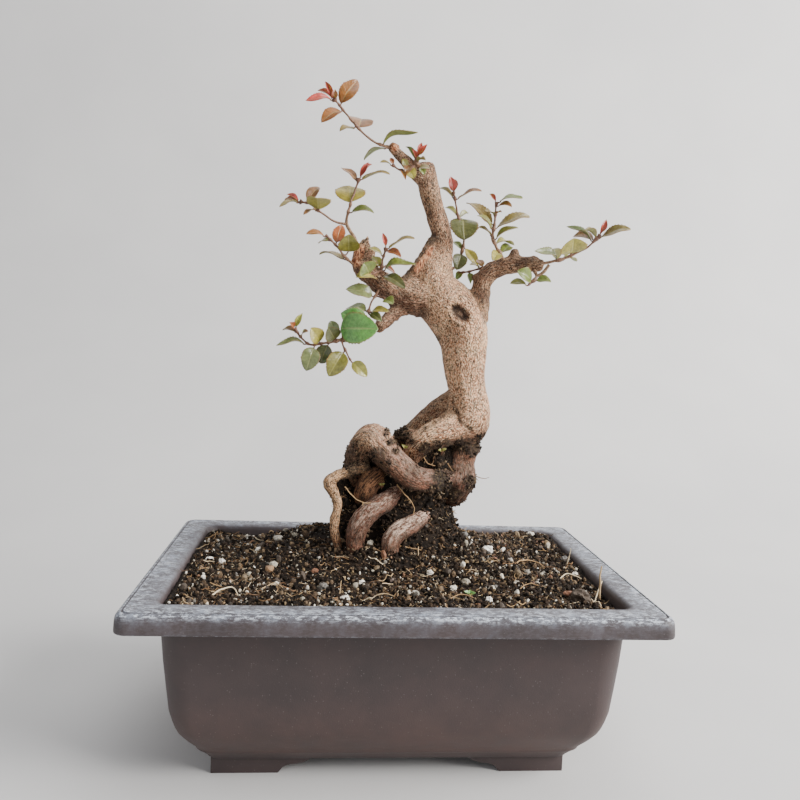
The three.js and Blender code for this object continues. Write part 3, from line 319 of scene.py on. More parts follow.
# Shoots. A stem is x, z, depth y, radius. A leaf is its base x, z, y, its tip x, z, y, its width, the way
# that its upper face looks, in degrees from the front upwards, and its colour.
SHOOTS = {
    "apex_shoot": {
        "stems": [
            [(-5.6, 257.2, 5, 0.9), (-13, 259, 3, 0.75), (-19, 263, 1, 0.7), (-25.5, 269.5, -1, 0.65),
             (-29.5, 273.8, -2, 0.6), (-31.8, 276.2, -3, 0.5)],
        ],
        "leaves": [
            (-28.8, 274.6, -2, -22, 285, 2, 7.5, 20, "amber"),
            (-28.6, 271.8, -2, -37, 266.3, -7, 6, 35, "amber"),
            (-21, 264.2, 0, -19.6, 268.8, 7, 11, 22, "brown"), (-23, 264.5, 0, -29, 263, -4, 4, 60, "khaki"),
            (-11, 258, 3, 5, 264.8, -2, 6, 80, "green"), (-8, 256.8, 4, -18, 251.5, 10, 6, 75, "sage"),
            (-32, 276, -3, -44, 275, -8, 4, 30, "red"), (-32.3, 276.5, -3, -36, 283.5, -2, 2.4, 0, "red"),
            (-32.5, 276.5, -3, -39, 279.5, 2, 2.4, 30, "red"),
            (-31.4, 276.5, -3, -31.6, 280.5, -4, 3, 0, "rust"),
        ],
    },
    "stub_shoot": {
        "stems": [[(6, 247, 8, 0.9), (5, 252, 5, 0.8), (5.2, 254.2, 4, 0.6)]],
        "leaves": [
            (5.3, 254, 4, 9.5, 259.8, 2, 2.6, 10, "red"), (5.2, 254.2, 4, 7, 260.4, 6, 2.2, 20, "red"),
            (5, 253.5, 4, 2.5, 257.5, 2, 2.2, 20, "red"), (4.8, 252.5, 5, 0, 258.2, 8, 2.4, 30, "sage"),
            (5.4, 252, 5, 9, 253, -2, 3, 60, "khaki"), (1.4, 249, 3, 4.2, 244.8, 1, 5, 15, "yellow"),
            (0.8, 249.4, 4, -1.4, 252.8, 3, 3.6, 30, "olive"),
            (6.4, 249.4, 5, 11, 249.6, 4, 4.4, 50, "khaki"), (2.2, 250, 4, 0.4, 246.4, 0, 3.8, 30, "brown"),
            (7, 249.6, 4, 8.6, 246.6, 2, 3.4, 40, "green"),
        ],
    },
    "stub_side_shoot": {
        "stems": [[(3, 248, 7, 0.8), (-2, 248, 4, 0.7), (-5.5, 250, 2, 0.5)]],
        "leaves": [
            (-5.4, 250, 2, -11, 250.8, 0, 3.4, 60, "khaki"), (-5, 250, 2, -6.5, 253, 4, 2.2, 20, "rust"),
            (-1, 248, 4, 0.5, 244, -2, 3, 30, "amber"),
        ],
    },
    "left_upper_shoot": {
        "stems": [
            [(-18.5, 209, -2, 1.4), (-20, 216, 0, 1.2), (-24.5, 223.5, 1, 1.1), (-24.4, 227, 1, 0.8),
             (-23, 233, 1, 0.7),
             (-21.2, 239, 2, 0.6), (-19.8, 243.4, 2, 0.5)],
            [(-24.5, 223.5, 1, 0.9), (-29, 224, -1, 0.7), (-36, 228, -4, 0.65), (-41, 231.3, -6, 0.55),
             (-45.2, 232, -8, 0.5)],
        ],
        "leaves": [
            (-23, 228.5, 1, -12.8, 229, -3, 5.5, 55, "green"),
            (-23, 232.2, 1, -23.6, 240, 7, 13.5, 28, "yellow"),
            (-20.6, 242, 2, -27.8, 247.5, 4, 4.5, 60, "brown"),
            (-19.8, 243, 2, -6.5, 246.2, -2, 5, 75, "khaki"),
            (-19.6, 243.4, 2, -16, 250.5, 2, 2.6, 10, "red"),
            (-19.6, 243.2, 2, -14.4, 249.8, 5, 2.2, 40, "red"),
            (-37, 228.4, -4, -37.5, 234, -14, 10.5, 60, "yellow"),
            (-42.5, 231.6, -6, -37, 238.6, -2, 5, 40, "brown"),
            (-45, 232, -8, -54, 229.3, -12, 3.6, 70, "khaki"),
            (-45, 232, -8, -50.8, 234.8, -6, 2.4, 40, "red"),
            (-45, 232, -8, -52, 231.8, -4, 2.2, 50, "rust"),
            (-37.5, 228.5, -4, -43.5, 226.5, -10, 3.5, 80, "brown"),
        ],
    },
    "left_middle_shoot": {
        "stems": [
            [(-18, 204, -3, 1), (-24, 208.5, -6, 0.8), (-27.5, 212.5, -8, 0.7), (-31, 216, -10, 0.6),
             (-33.6, 218.2, -11, 0.5)],
        ],
        "leaves": [
            (-29, 214.3, -9, -26.5, 223, -7, 5.5, 20, "orange"),
            (-33.4, 218, -11, -42, 218.3, -14, 4, 50, "amber"),
            (-31.5, 216.4, -10, -36.5, 214.6, -5, 4.5, 50, "olive"),
            (-23.2, 211.6, -6, -23.4, 219, -11, 9.5, 15, "olive"),
            (-23.5, 208, -6, -36, 210, -1, 5, 78, "khaki"),
        ],
    },
    "limb_shoot": {
        "stems": [
            [(-9, 199, -2, 0.9), (-8.5, 205, -5, 0.7), (-7.8, 210, -6, 0.6), (-6.8, 214.2, -6, 0.5)],
            [(-8.6, 204, -4.6, 0.7), (-11, 203, -7.4, 0.65), (-13.4, 202, -8.4, 0.6)],
        ],
        "leaves": [
            (-6.8, 214, -6, -8.6, 220.5, -6, 2.4, 20, "red"),
            (-6.6, 213.8, -6, 5.6, 219, -10, 5, 70, "khaki"),
            (-6.6, 213.4, -6, 0, 210.3, -10, 4, 40, "rust"),
            (-8, 210.4, -6, -14.5, 213.5, -9, 5, 55, "olive"),
            (-8.6, 205.6, -5, -12.8, 210, -3, 4.5, 40, "olive"),
            (-13.2, 201, -8, -16.4, 207, -12, 10, 18, "green"),
            (-10.6, 200.4, -8, -19.6, 200.6, -12, 6, 50, "yellow"),
            (-8.4, 204, -5, 6.5, 207.8, -9, 6, 55, "green"),
            (-8.6, 206, -5, -2.5, 203.5, -3, 4.5, 50, "rust"),
            (-8.7, 201.6, -4.8, 2.4, 197, -10, 6, 40, "deep"),
        ],
    },
    "hanging_shoot": {
        "stems": [
            [(-9, 197, -2, 0.9), (-10.6, 193, -6, 0.7), (-12.3, 190, -8, 0.65), (-13.6, 185.2, -9, 0.6)],
            [(-10.6, 193, -6, 0.6), (-6.5, 191.8, -9, 0.5)],
        ],
        "leaves": [
            (-11, 193.6, -7, -23.8, 195.2, -9, 7, 35, "sage"),
            (-6.8, 192, -9, -2.8, 189.6, -13, 5, 30, "green"),
            (-13.5, 186, -9, -23.5, 186.8, -4, 7, 60, "sage"),
            (-13.3, 185.4, -9, -4.6, 186.5, -13, 4.5, 50, "yellow"),
            (-13.3, 185, -9, -7.5, 181.8, -11, 4.5, 40, "deep"),
        ],
    },
    "low_left_shoot": {
        "stems": [
            [(-7, 180, -5, 1.2), (-12, 177.4, -8, 1), (-18, 175.5, -9, 0.9), (-25, 172.8, -10, 0.8),
             (-33, 171, -11, 0.7),
             (-39, 170.3, -12, 0.6), (-43, 173.5, -13, 0.55), (-45.6, 177, -13, 0.5)],
            [(-25, 172.8, -10, 0.6), (-23.3, 168.5, -12, 0.55), (-20.6, 164, -13, 0.5)],
        ],
        "leaves": [
            (-25.5, 177.8, -14, -9, 178.3, -19, 13.5, 5, "emerald"),
            (-14.6, 180, -10, -25.6, 184.6, -12, 9.5, 10, "emerald"),
            (-25, 172.5, -11, -16, 172.5, -16, 6, 50, "deep"),
            (-27.5, 171.8, -11, -31, 178, -15, 7.5, 15, "deep"), (-27, 173, -11, -30, 181, -6, 5, 30, "sage"),
            (-34, 170.8, -12, -38.5, 177.5, -16, 7, 25, "yellow"),
            (-36.5, 170, -12, -40, 158.5, -15, 8, 5, "sage"),
            (-30.5, 170.8, -11, -34, 162, -9, 7.5, 15, "deep"),
            (-24, 168.4, -12, -30, 156.5, -16, 8.8, 10, "olive"),
            (-20.6, 164, -13, -13, 157, -15, 5.5, 15, "pale"),
            (-40, 170.8, -12, -53.5, 169.3, -14, 4.5, 65, "sage"),
            (-44.3, 175.5, -13, -51, 176, -10, 3.2, 60, "brown"),
            (-45.4, 177, -13, -48, 179.5, -16, 3, 30, "rust"),
            (-45.2, 177, -13, -42.5, 183.8, -13, 2.8, 20, "pale"),
            (-43, 173.6, -13, -39.8, 176, -18, 3.5, 40, "brown"),
        ],
    },
    "back_shoot": {
        "stems": [
            [(19, 205, 13, 1.2), (25, 208, 18, 1), (27, 214, 19, 0.8), (27.7, 218.5, 19, 0.7),
             (26.4, 225, 18, 0.7),
             (24.4, 230, 17, 0.65), (23.2, 235, 16, 0.6), (22, 240, 16, 0.5)],
        ],
        "leaves": [
            (22, 239.6, 16, 20.4, 246.6, 16, 3.6, 0, "red"), (22, 239.6, 16, 22.4, 245.6, 18, 3, 30, "red"),
            (22.6, 237.4, 16, 15.5, 241.2, 19, 4, 65, "khaki"),
            (22.8, 236.8, 16, 34.5, 241.3, 12, 5, 65, "brown"),
            (24.2, 230, 17, 18.6, 233, 21, 4, 60, "olive"),
            (26.6, 228.6, 19, 28, 219.4, 13, 13.5, 18, "deep"), (25.2, 229, 18, 29, 231, 22, 3, 45, "olive"),
            (27, 214.2, 19, 25, 206, 15, 7, 10, "deep"), (27.6, 216.5, 19, 34.5, 208, 17, 5, 20, "yellow"),
            (27.2, 215, 19, 23, 218.3, 22, 3.5, 45, "sage"),
        ],
    },
    "back_low_shoot": {
        "stems": [[(43, 207.5, 3, 0.8), (37.5, 207.8, 9, 0.65), (30, 205.3, 13, 0.6), (25.5, 205, 15, 0.5)]],
        "leaves": [
            (28, 205.2, 13, 24.6, 202.2, 17, 4, 30, "green"),
            (31, 205.5, 12.5, 31.5, 200.2, 10, 3, 10, "green"), (35, 207, 10, 31, 208.6, 5, 3.5, 60, "khaki"),
            (37, 207.8, 9, 34, 211, 13, 3.5, 40, "brown"),
        ],
    },
    "branch_shoot": {
        "stems": [
            [(47, 209, 2, 1.2), (45, 213, -1, 1.1), (42, 217.5, -1, 0.9), (40.6, 221, -1, 0.8),
             (40.9, 226, -1, 0.7),
             (41.2, 231, -1, 0.6), (41.5, 236.6, -1, 0.5)],
        ],
        "leaves": [
            (41.6, 236.4, -1, 53.2, 239.3, -5, 5, 60, "green"),
            (41.6, 235.2, -1, 48.5, 235, -6, 5, 50, "brown"), (41.4, 236.4, -1, 38, 240, 2, 2, 20, "red"),
            (40.8, 226.5, -1, 28, 235.6, 4, 6.5, 50, "khaki"),
            (40.8, 224.5, -1, 33.2, 230.3, -8, 5, 40, "olive"),
            (40.6, 221.5, -1, 33.8, 225.3, -4, 4, 60, "khaki"),
            (41, 225.2, -1, 56.8, 231.2, 3, 6, 55, "khaki"), (40.8, 220, -1, 51.8, 226, -6, 5.5, 60, "olive"),
            (41.4, 219, -1, 50.5, 218.3, 6, 4.5, 70, "pale"),
            (41.2, 231, -1, 36.5, 232.3, -5, 3.5, 55, "khaki"),
            (41.2, 231.4, -1, 44.2, 232.3, -4, 2, 60, "rust"),
            (43.8, 215, -1, 41.3, 211, -8, 5, 20, "yellow"), (44.4, 214.2, -1, 49, 217.5, 8, 5, 40, "green"),
        ],
    },
    "tip_shoot": {
        "stems": [
            [(60.5, 210, -1.5, 1.2), (67, 211.4, -3, 0.9), (71.5, 212.7, -4, 0.8), (76.5, 214.8, -5, 0.7),
             (81.5, 217.4, -6, 0.65), (85.5, 220.3, -7, 0.6), (88, 223, -7, 0.55), (89.5, 225, -8, 0.5)],
        ],
        "leaves": [
            (76.3, 215.2, -5, 77.5, 222.6, -11, 13, 30, "yellow"),
            (87.6, 223, -7, 77, 223.3, 0, 6.5, 45, "brown"), (86.6, 221.6, -7, 74, 227.8, -4, 4, 60, "sage"),
            (88, 223.4, -7, 82, 226.3, -13, 3, 70, "khaki"),
            (88.3, 223, -7, 103.5, 228.2, -12, 6.5, 50, "khaki"),
            (89.4, 225, -8, 92, 231.8, -8, 2.8, 10, "red"), (89.2, 224.8, -8, 91.5, 229, -4, 2.2, 30, "red"),
            (71.5, 212.8, -4, 60, 216.2, -9, 5.5, 45, "sage"),
            (70.5, 212.6, -4, 68, 217.5, 4, 5.5, 45, "yellow"),
            (72.5, 213, -4, 79.5, 212.6, 3, 5, 60, "pale"),
        ],
    },
    "tip_low_shoot": {
        "stems": [
            [(60, 207.6, -3, 1.2), (61.5, 205, -6, 1), (60.3, 203, -7, 0.8), (58, 200.9, -7.5, 0.5)],
            [(61.5, 205, -6, 1), (64.3, 206.8, -7, 1.1), (67, 210.3, -8, 1.1)],
        ],
        "leaves": [
            (59.8, 202.6, -7, 52.5, 206.8, -11, 6.5, 20, "green"),
            (58.2, 201, -7.5, 49.5, 201.2, -9, 4.5, 50, "olive"),
            (60.6, 203.4, -7, 68.2, 202.8, -10, 4.5, 40, "green"),
        ],
    },
}
STALK_LEAST = 1.3

# Seedlings in the soil and the crust, read as the shoots are
SEEDLINGS = {
    "stems": [
        [(38, 54.6, -41, 0.2), (38.1, 58, -41, 0.2)], [(5.3, 122, -2, 0.2), (5.4, 125, -2.5, 0.2)],
        [(22, 122.6, -4, 0.2), (22.2, 124.4, -4.6, 0.2)], [(-4.6, 106.4, -4, 0.2), (-4.4, 108, -4.4, 0.2)],
    ],
    "leaves": [
        (38.1, 58, -41, 35.4, 59.6, -42, 1.9, 60, "emerald"),
        (38.1, 58, -41, 41, 59, -41.5, 1.9, 60, "emerald"),
        (38.1, 57.8, -41, 38.6, 57.6, -44, 1.8, 70, "pale"),
        (38.1, 58, -41, 38.4, 60.4, -39, 1.7, 50, "emerald"), (5.4, 125, -2.5, 3.8, 127, -3, 1.4, 40, "pale"),
        (5.4, 125, -2.5, 6.8, 126.4, -3.4, 1.4, 40, "pale"),
        (22.2, 124.4, -4.6, 20.4, 124.8, -5.6, 1.6, 40, "pale"),
        (22.2, 124.4, -4.6, 24.2, 125.6, -5.4, 1.6, 40, "pale"),
        (-4.4, 108, -4.4, -5.8, 108.8, -5.2, 1.3, 40, "pale"),
        (-4.4, 108, -4.4, -3, 109, -5, 1.3, 40, "pale"),
    ],
}

# Leaf colours, from full-grown green to the red of new growth
LEAF_COLOURS = {
    "emerald": "#55893f", "green": "#6a7534", "deep": "#4e5129", "olive": "#78732f", "sage": "#6c7447",
    "yellow": "#978b38", "pale": "#949147", "khaki": "#7d6b35", "brown": "#7e5530", "amber": "#8a5522",
    "orange": "#9f5428",
    "rust": "#8b4a2c", "red": "#a83f38",
}

# Width along a leaf from stalk to tip, as shares
OVATE = [
    (0, 0.1), (0.05, 0.42), (0.13, 0.7), (0.25, 0.93), (0.38, 1), (0.55, 0.98), (0.7, 0.84), (0.84, 0.6),
    (0.94, 0.33), (1, 0.03),
]
LANCE = [
    (0, 0.12), (0.08, 0.42), (0.2, 0.78), (0.36, 1), (0.52, 0.96), (0.68, 0.78), (0.84, 0.5), (0.95, 0.2),
    (1, 0.03),
]
BUD = [(0, 0.25), (0.2, 0.8), (0.4, 1), (0.65, 0.8), (0.85, 0.4), (1, 0.05)]

# Blades: outline, rows, teeth, depth of the teeth, fold, droop, twist and wave
BLADES = [
    (OVATE, 36, 12, 0.09, 0.34, 0.02, 0.1, 0.012), (OVATE, 36, 12, 0.11, 0.22, 0.05, -0.25, 0.02),
    (OVATE, 36, 12, 0.11, 0.4, -0.03, 0.2, 0.015), (LANCE, 40, 10, 0.19, 0.3, 0.06, 0.3, 0.01),
    (LANCE, 40, 10, 0.19, 0.2, -0.05, -0.4, 0.014), (LANCE, 40, 10, 0.19, 0.35, 0.1, 0.1, 0.008),
    (BUD, 14, 0, 0, 0.6, 0.03, 0.2, 0), (BUD, 14, 0, 0, 0.75, -0.04, -0.2, 0),
]
BLADE_ACROSS = [-1, -0.93, -0.6, -0.28, 0, 0.28, 0.6, 0.93, 1]
BLADE_ARCH = 0.1
BLADE_THICKNESS = 0.026


def linear(colour):
    """The linear colour that a shader takes, from sRGB hex"""
    channels = [int(colour[i:i + 2], 16) / 255 for i in (1, 3, 5)]
    return [c / 12.92 if c <= 0.04045 else ((c + 0.055) / 1.055) ** 2.4 for c in channels] + [1.0]


def put(tree, kind, inputs=None, stops=None, **settings):
    """A new node with its settings, its input values and links, and a colour ramp's stops"""
    node = tree.nodes.new(kind)
    for name, value in settings.items():
        setattr(node, name, value)
    for key, value in (inputs or {}).items():
        if isinstance(value, bpy.types.NodeSocket):
            tree.links.new(value, node.inputs[key])
        elif isinstance(value, str) and value.startswith("#"):
            node.inputs[key].default_value = linear(value)
        else:
            node.inputs[key].default_value = value
    if stops:
        elements = node.color_ramp.elements
        while len(elements) < len(stops):
            elements.new(1)
        for element, (place, colour) in zip(elements, stops):
            element.position = place
            element.color = linear(colour) if isinstance(colour, str) else (colour, colour, colour, 1)
    return node


def new_material(name):
    material = bpy.data.materials.new(name)
    material.use_nodes = True
    material.node_tree.nodes.clear()
    return material, material.node_tree


def seen(x, z, y):
    """The point that is seen at x, z on the reading plane and really lies at depth y"""
    reach = (y - VIEWPOINT[1]) / (READING_PLANE - VIEWPOINT[1])
    return VIEWPOINT + reach * (np.array([x, READING_PLANE, z], float) - VIEWPOINT)


def off_sight(points, x, z):
    """How far points are from the line of sight through x, z on the reading plane"""
    sight = seen(x, z, READING_PLANE) - VIEWPOINT
    sight /= np.linalg.norm(sight)
    away = points - VIEWPOINT
    return np.linalg.norm(away - np.outer(away @ sight, sight), axis=1)


def smoothstep(low, high, value):
    share = np.clip((value - low) / (high - low), 0, 1)
    return share * share * (3 - 2 * share)


def noise_at(points, size, seed=0):
    """Smooth noise from about -1 to 1 at each point, with lumps about `size` across (one number or one per
    axis)"""
    places = np.asarray(points) / size + seed * 17.31
    return np.array([field.noise(Vector(p)) for p in places])


def curve_through(places, step):
    """Points along a centripetal Catmull-Rom curve, and the curve parameter at each, from 0 to the last
    place"""
    places = np.asarray(places, float)
    ends = [2 * places[0] - places[1], 2 * places[-1] - places[-2]]
    points = np.vstack([ends[0], places, ends[1]])
    track = []
    parameters = []
    for span in range(len(places) - 1):
        p0, p1, p2, p3 = points[span:span + 4]
        d0, d1, d2 = [
            max(float(np.dot(b - a, b - a)) ** 0.25, 1e-4) for a, b in ((p0, p1), (p1, p2), (p2, p3))]
        leave = ((p1 - p0) / d0 - (p2 - p0) / (d0 + d1) + (p2 - p1) / d1) * d1
        arrive = ((p2 - p1) / d1 - (p3 - p1) / (d1 + d2) + (p3 - p2) / d2) * d1
        count = max(2, int(math.ceil(np.linalg.norm(p2 - p1) / step)))
        for i in range(count):
            t = i / count
            cubic = 2 * p1 - 2 * p2 + leave + arrive
            square = -3 * p1 + 3 * p2 - 2 * leave - arrive
            track.append(p1 + leave * t + square * t ** 2 + cubic * t ** 3)
            parameters.append(span + t)
    track.append(places[-1])
    parameters.append(len(places) - 1)
    return np.array(track), np.array(parameters)


def limb_track(readings, step):
    """Points, radii, tangents and two cross directions along a limb that is given as x, z, depth and
    radius"""
    places = [seen(x, z, y) for x, z, y, _ in readings]
    radii = [reading[3] for reading in readings]
    points, parameters = curve_through(places, step)
    radius = np.interp(parameters, range(len(radii)), radii)
    tangent = np.gradient(points, axis=0)
    tangent /= np.linalg.norm(tangent, axis=1)[:, None]
    normal = np.zeros_like(points)
    start = np.cross(tangent[0], [0.0, 1.0, 0.0])
    normal[0] = start / np.linalg.norm(start)
    for i in range(1, len(points)):
        carried = normal[i - 1] - tangent[i] * np.dot(normal[i - 1], tangent[i])
        normal[i] = carried / np.linalg.norm(carried)
    return points, radius, tangent, normal, np.cross(tangent, normal)


def add_object(name, data):
    """A new object in the scene, at the origin, unturned and unscaled"""
    thing = bpy.data.objects.new(name, data)
    bpy.context.scene.collection.objects.link(thing)
    return thing


def mesh_object(name, points, faces, edges=()):
    """A new object from points in millimetres"""
    mesh = bpy.data.meshes.new(name)
    mesh.from_pydata((np.asarray(points, float) * MM).tolist(), edges, faces)
    mesh.update()
    return add_object(name, mesh)


def tube_faces(levels, around, first=0):
    """The walls, the bottom and the top of a tube whose rings of points follow each other in a list"""
    walls = []
    for level in range(levels - 1):
        for i in range(around):
            a = first + level * around + i
            b = first + level * around + (i + 1) % around
            walls.append((a, b, b + around, a + around))
    bottom = tuple(first + around - 1 - i for i in range(around))
    top = tuple(first + (levels - 1) * around + i for i in range(around))
    return walls, bottom, top


def finished_mesh(work, name):
    """A mesh from a bmesh, which is freed"""
    mesh = bpy.data.meshes.new(name)
    work.to_mesh(mesh)
    work.free()
    return mesh


def per_point(mesh, read):
    """One vector for each vertex, as rows of three numbers: its place (co) or its normal (vector)"""
    flat = np.empty(3 * len(mesh.vertices))
    source = mesh.vertices if read == "co" else mesh.vertex_normals
    source.foreach_get(read, flat)
    return flat.reshape(-1, 3)


def mesh_points(mesh):
    return per_point(mesh, "co") / MM


def mesh_normals(mesh):
    return per_point(mesh, "vector")


def set_points(mesh, points):
    mesh.vertices.foreach_set("co", (points * MM).ravel())
    mesh.update()


def mark(mesh, name, values):
    """Stores a number or a vector at each vertex under a name that nodes can read"""
    values = np.asarray(values, float)
    kind = "FLOAT" if values.ndim == 1 else "FLOAT_VECTOR"
    attribute = mesh.attributes.get(name) or mesh.attributes.new(name, kind, "POINT")
    attribute.data.foreach_set("value" if values.ndim == 1 else "vector", values.ravel())


def plain_copy(thing, name):
    """The result of an object's modifiers as a plain mesh object. The source object goes."""
    graph = bpy.context.evaluated_depsgraph_get()
    mesh = bpy.data.meshes.new_from_object(
        thing.evaluated_get(graph), preserve_all_data_layers=True, depsgraph=graph)
    mesh.name = name
    bpy.data.objects.remove(thing)
    return add_object(name, mesh)


def grow(source, tree, inputs, name):
    """The result of a Geometry Nodes tree on a source object, as a plain mesh object. The source goes."""
    modifier = source.modifiers.new(name, "NODES")
    modifier.node_group = tree
    for item in tree.interface.items_tree:
        if item.item_type == "SOCKET" and item.in_out == "INPUT" and item.name in inputs:
            modifier[item.identifier] = inputs[item.name]
    return plain_copy(source, name)


def new_growth(name, sockets):
    """A Geometry Nodes tree with named inputs, and its input and output nodes"""
    tree = bpy.data.node_groups.new(name, "GeometryNodeTree")
    tree.interface.new_socket("Geometry", in_out="INPUT", socket_type="NodeSocketGeometry")
    tree.interface.new_socket("Geometry", in_out="OUTPUT", socket_type="NodeSocketGeometry")
    for label, kind, default in sockets:
        socket = tree.interface.new_socket(label, in_out="INPUT", socket_type="NodeSocket" + kind)
        if default is not None:
            socket.default_value = default
    return tree, put(tree, "NodeGroupInput"), put(tree, "NodeGroupOutput")


def joined(name, things):
    """Several plain mesh objects as one object"""
    work = bmesh.new()
    materials = []
    for thing in things:
        offset = len(materials)
        materials.extend(thing.data.materials)
        first = len(work.faces)
        work.from_mesh(thing.data)
        work.faces.ensure_lookup_table()
        for face in work.faces[first:]:
            face.material_index += offset
    mesh = finished_mesh(work, name)
    for material in materials:
        mesh.materials.append(material)
    for thing in things:
        bpy.data.objects.remove(thing)
    return add_object(name, mesh)


def settle(piece, node, smooth=True):
    """Makes a finished piece part of the object, in place of the CAD node that it details"""
    piece.data.polygons.foreach_set("use_smooth", [smooth] * len(piece.data.polygons))
    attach(piece, "root")
    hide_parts(node)
    return piece


# Materials

def dust_specks(tree, place):
    """Specks of dry soil dust. They are 0.1 mm in reality, drawn 0.3 mm across so that they show."""
    cells = put(tree, "ShaderNodeTexVoronoi", {"Vector": place, "Scale": 1150, "Randomness": 1})
    core = put(tree, "ShaderNodeMapRange", {
        "Value": cells.outputs["Distance"], "From Min": 0.3, "From Max": 0.16}).outputs[0]
    lot = put(tree, "ShaderNodeSeparateColor", {"Color": cells.outputs["Color"]}).outputs[0]
    kept = put(tree, "ShaderNodeMapRange", {"Value": lot, "From Min": 0.84, "From Max": 1.15}).outputs[0]
    return put(tree, "ShaderNodeMath", {0: core, 1: kept}, operation="MULTIPLY").outputs[0]


def chalked_rim(tree, place):
    """The rim's plastic has chalked to a mottled bluish grey. Scratches of 0.5 to 3 mm are rubbed nearly
    white."""
    rubbed = put(tree, "ShaderNodeAttribute", attribute_name="rubbed").outputs["Fac"]
    blotch = put(tree, "ShaderNodeTexNoise", {
        "Vector": place, "Scale": 120, "Detail": 12, "Roughness": 0.78}).outputs[0]
    rim = put(tree, "ShaderNodeValToRGB", {"Fac": blotch}, [
        (0.38, "#3e3b3f"), (0.47, "#545359"), (0.54, "#696c75"), (0.64, "#8a92a0")]).outputs[0]
    streak_place = put(tree, "ShaderNodeMapping", {"Vector": place, "Scale": (420, 900, 1300)}).outputs[0]
    streak = put(tree, "ShaderNodeTexNoise", {
        "Vector": streak_place, "Scale": 1, "Detail": 9, "Roughness": 0.75}).outputs[0]
    patch = put(tree, "ShaderNodeMapRange", {"Value": streak, "From Min": 0.51, "From Max": 0.56}).outputs[0]
    edge = put(tree, "ShaderNodeMath", {0: rubbed, 1: patch}, operation="MULTIPLY", use_clamp=True).outputs[0]
    return put(tree, "ShaderNodeMix", {0: edge, 6: rim, 7: "#c6cdd8"}, data_type="RGBA").outputs[2]


def pot_plastic():
    """Injection-moulded polypropylene: dull, dark grey-brown, with a fine mould grain and specks of dry soil
    dust, and chalked by the weather on the rim"""
    material, tree = new_material("weathered_polypropylene")
    place = put(tree, "ShaderNodeTexCoord").outputs["Object"]
    cloud = put(tree, "ShaderNodeTexNoise", {
        "Vector": place, "Scale": 45, "Detail": 6, "Roughness": 0.65}).outputs[0]
    colour = put(tree, "ShaderNodeValToRGB", {
        "Fac": cloud}, [(0.32, "#372e2e"), (0.68, "#433736")]).outputs[0]
    speck = dust_specks(tree, place)
    # The body turns a lighter reddish brown low down, above the feet
    height = put(tree, "ShaderNodeSeparateXYZ", {"Vector": place}).outputs["Z"]
    low, off_feet = [
        put(tree, "ShaderNodeMapRange", {
            "Value": height, "From Min": start, "From Max": whole, "To Max": most}).outputs[0]
        for start, whole, most in ((0.04, 0.014, 0.4), (0.008, 0.013, 1))
    ]
    low_warm_band = cloud
    for share in (off_feet, low):
        low_warm_band = put(tree, "ShaderNodeMath", {0: share, 1: low_warm_band}, operation="MULTIPLY").outputs[0]
    chalk = put(tree, "ShaderNodeAttribute", attribute_name="chalk").outputs["Fac"]
    for share, cover in ((speck, "#6f6763"), (low_warm_band, "#6b4d41"), (chalk, chalked_rim(tree, place))):
        colour = put(tree, "ShaderNodeMix", {0: share, 6: colour, 7: cover}, data_type="RGBA").outputs[2]
    rough = put(tree, "ShaderNodeMapRange", {
        "Value": cloud, "From Min": 0.3, "From Max": 0.7, "To Min": 0.48, "To Max": 0.62}).outputs[0]
    # Mould grain of about 0.4 mm
    grain = put(tree, "ShaderNodeTexNoise", {"Vector": place, "Scale": 1800, "Detail": 3}).outputs[0]
    relief = put(tree, "ShaderNodeMath", {0: grain, 1: speck}, operation="ADD").outputs[0]
    bump = put(tree, "ShaderNodeBump", {"Height": relief, "Strength": 0.35, "Distance": 0.00015}).outputs[0]
    shader = put(tree, "ShaderNodeBsdfPrincipled", {
        "Base Color": colour, "Roughness": rough, "Normal": bump, "IOR": 1.49, "Specular IOR Level": 0.42})
    put(tree, "ShaderNodeOutputMaterial", {"Surface": shader.outputs[0]})
    return material


def bark_patterns(tree, place):
    """The bark's noises. Flecks are 0.3 mm across and 1 to 2 mm long, drawn 0.5 mm across so that they show.
    Dust and the painted highlight on the roots lie in patches of 0.5 to 2 mm, crust in crumbs of 0.5 mm, and
    broader light and dark areas are 6 to
    20 mm."""
    grain = put(tree, "ShaderNodeAttribute", attribute_name="grain").outputs["Vector"]
    patterns = {}
    for name, shift, scale, detail, roughness in (
        ("fleck", (0, 0, 0), (2.1, 2.1, 0.5), 3, 0.7), ("fine", (7.3, 2.1, 4.4), (2.9, 2.9, 1.3), 3, 0.7),
        ("patches", (0, 0, 0), (0.9, 0.9, 0.45), 9, 0.86),
    ):
        spot = put(tree, "ShaderNodeMapping", {"Vector": grain, "Location": shift, "Scale": scale}).outputs[0]
        patterns[name] = put(tree, "ShaderNodeTexNoise", {
            "Vector": spot, "Scale": 1, "Detail": detail, "Roughness": roughness}).outputs[0]
    for name, scale, detail, roughness in (("broad", 90, 5, 0.6), ("crumbs", 750, 7, 0.8)):
        patterns[name] = put(tree, "ShaderNodeTexNoise", {
            "Vector": place, "Scale": scale, "Detail": detail, "Roughness": roughness}).outputs[0]
    return patterns


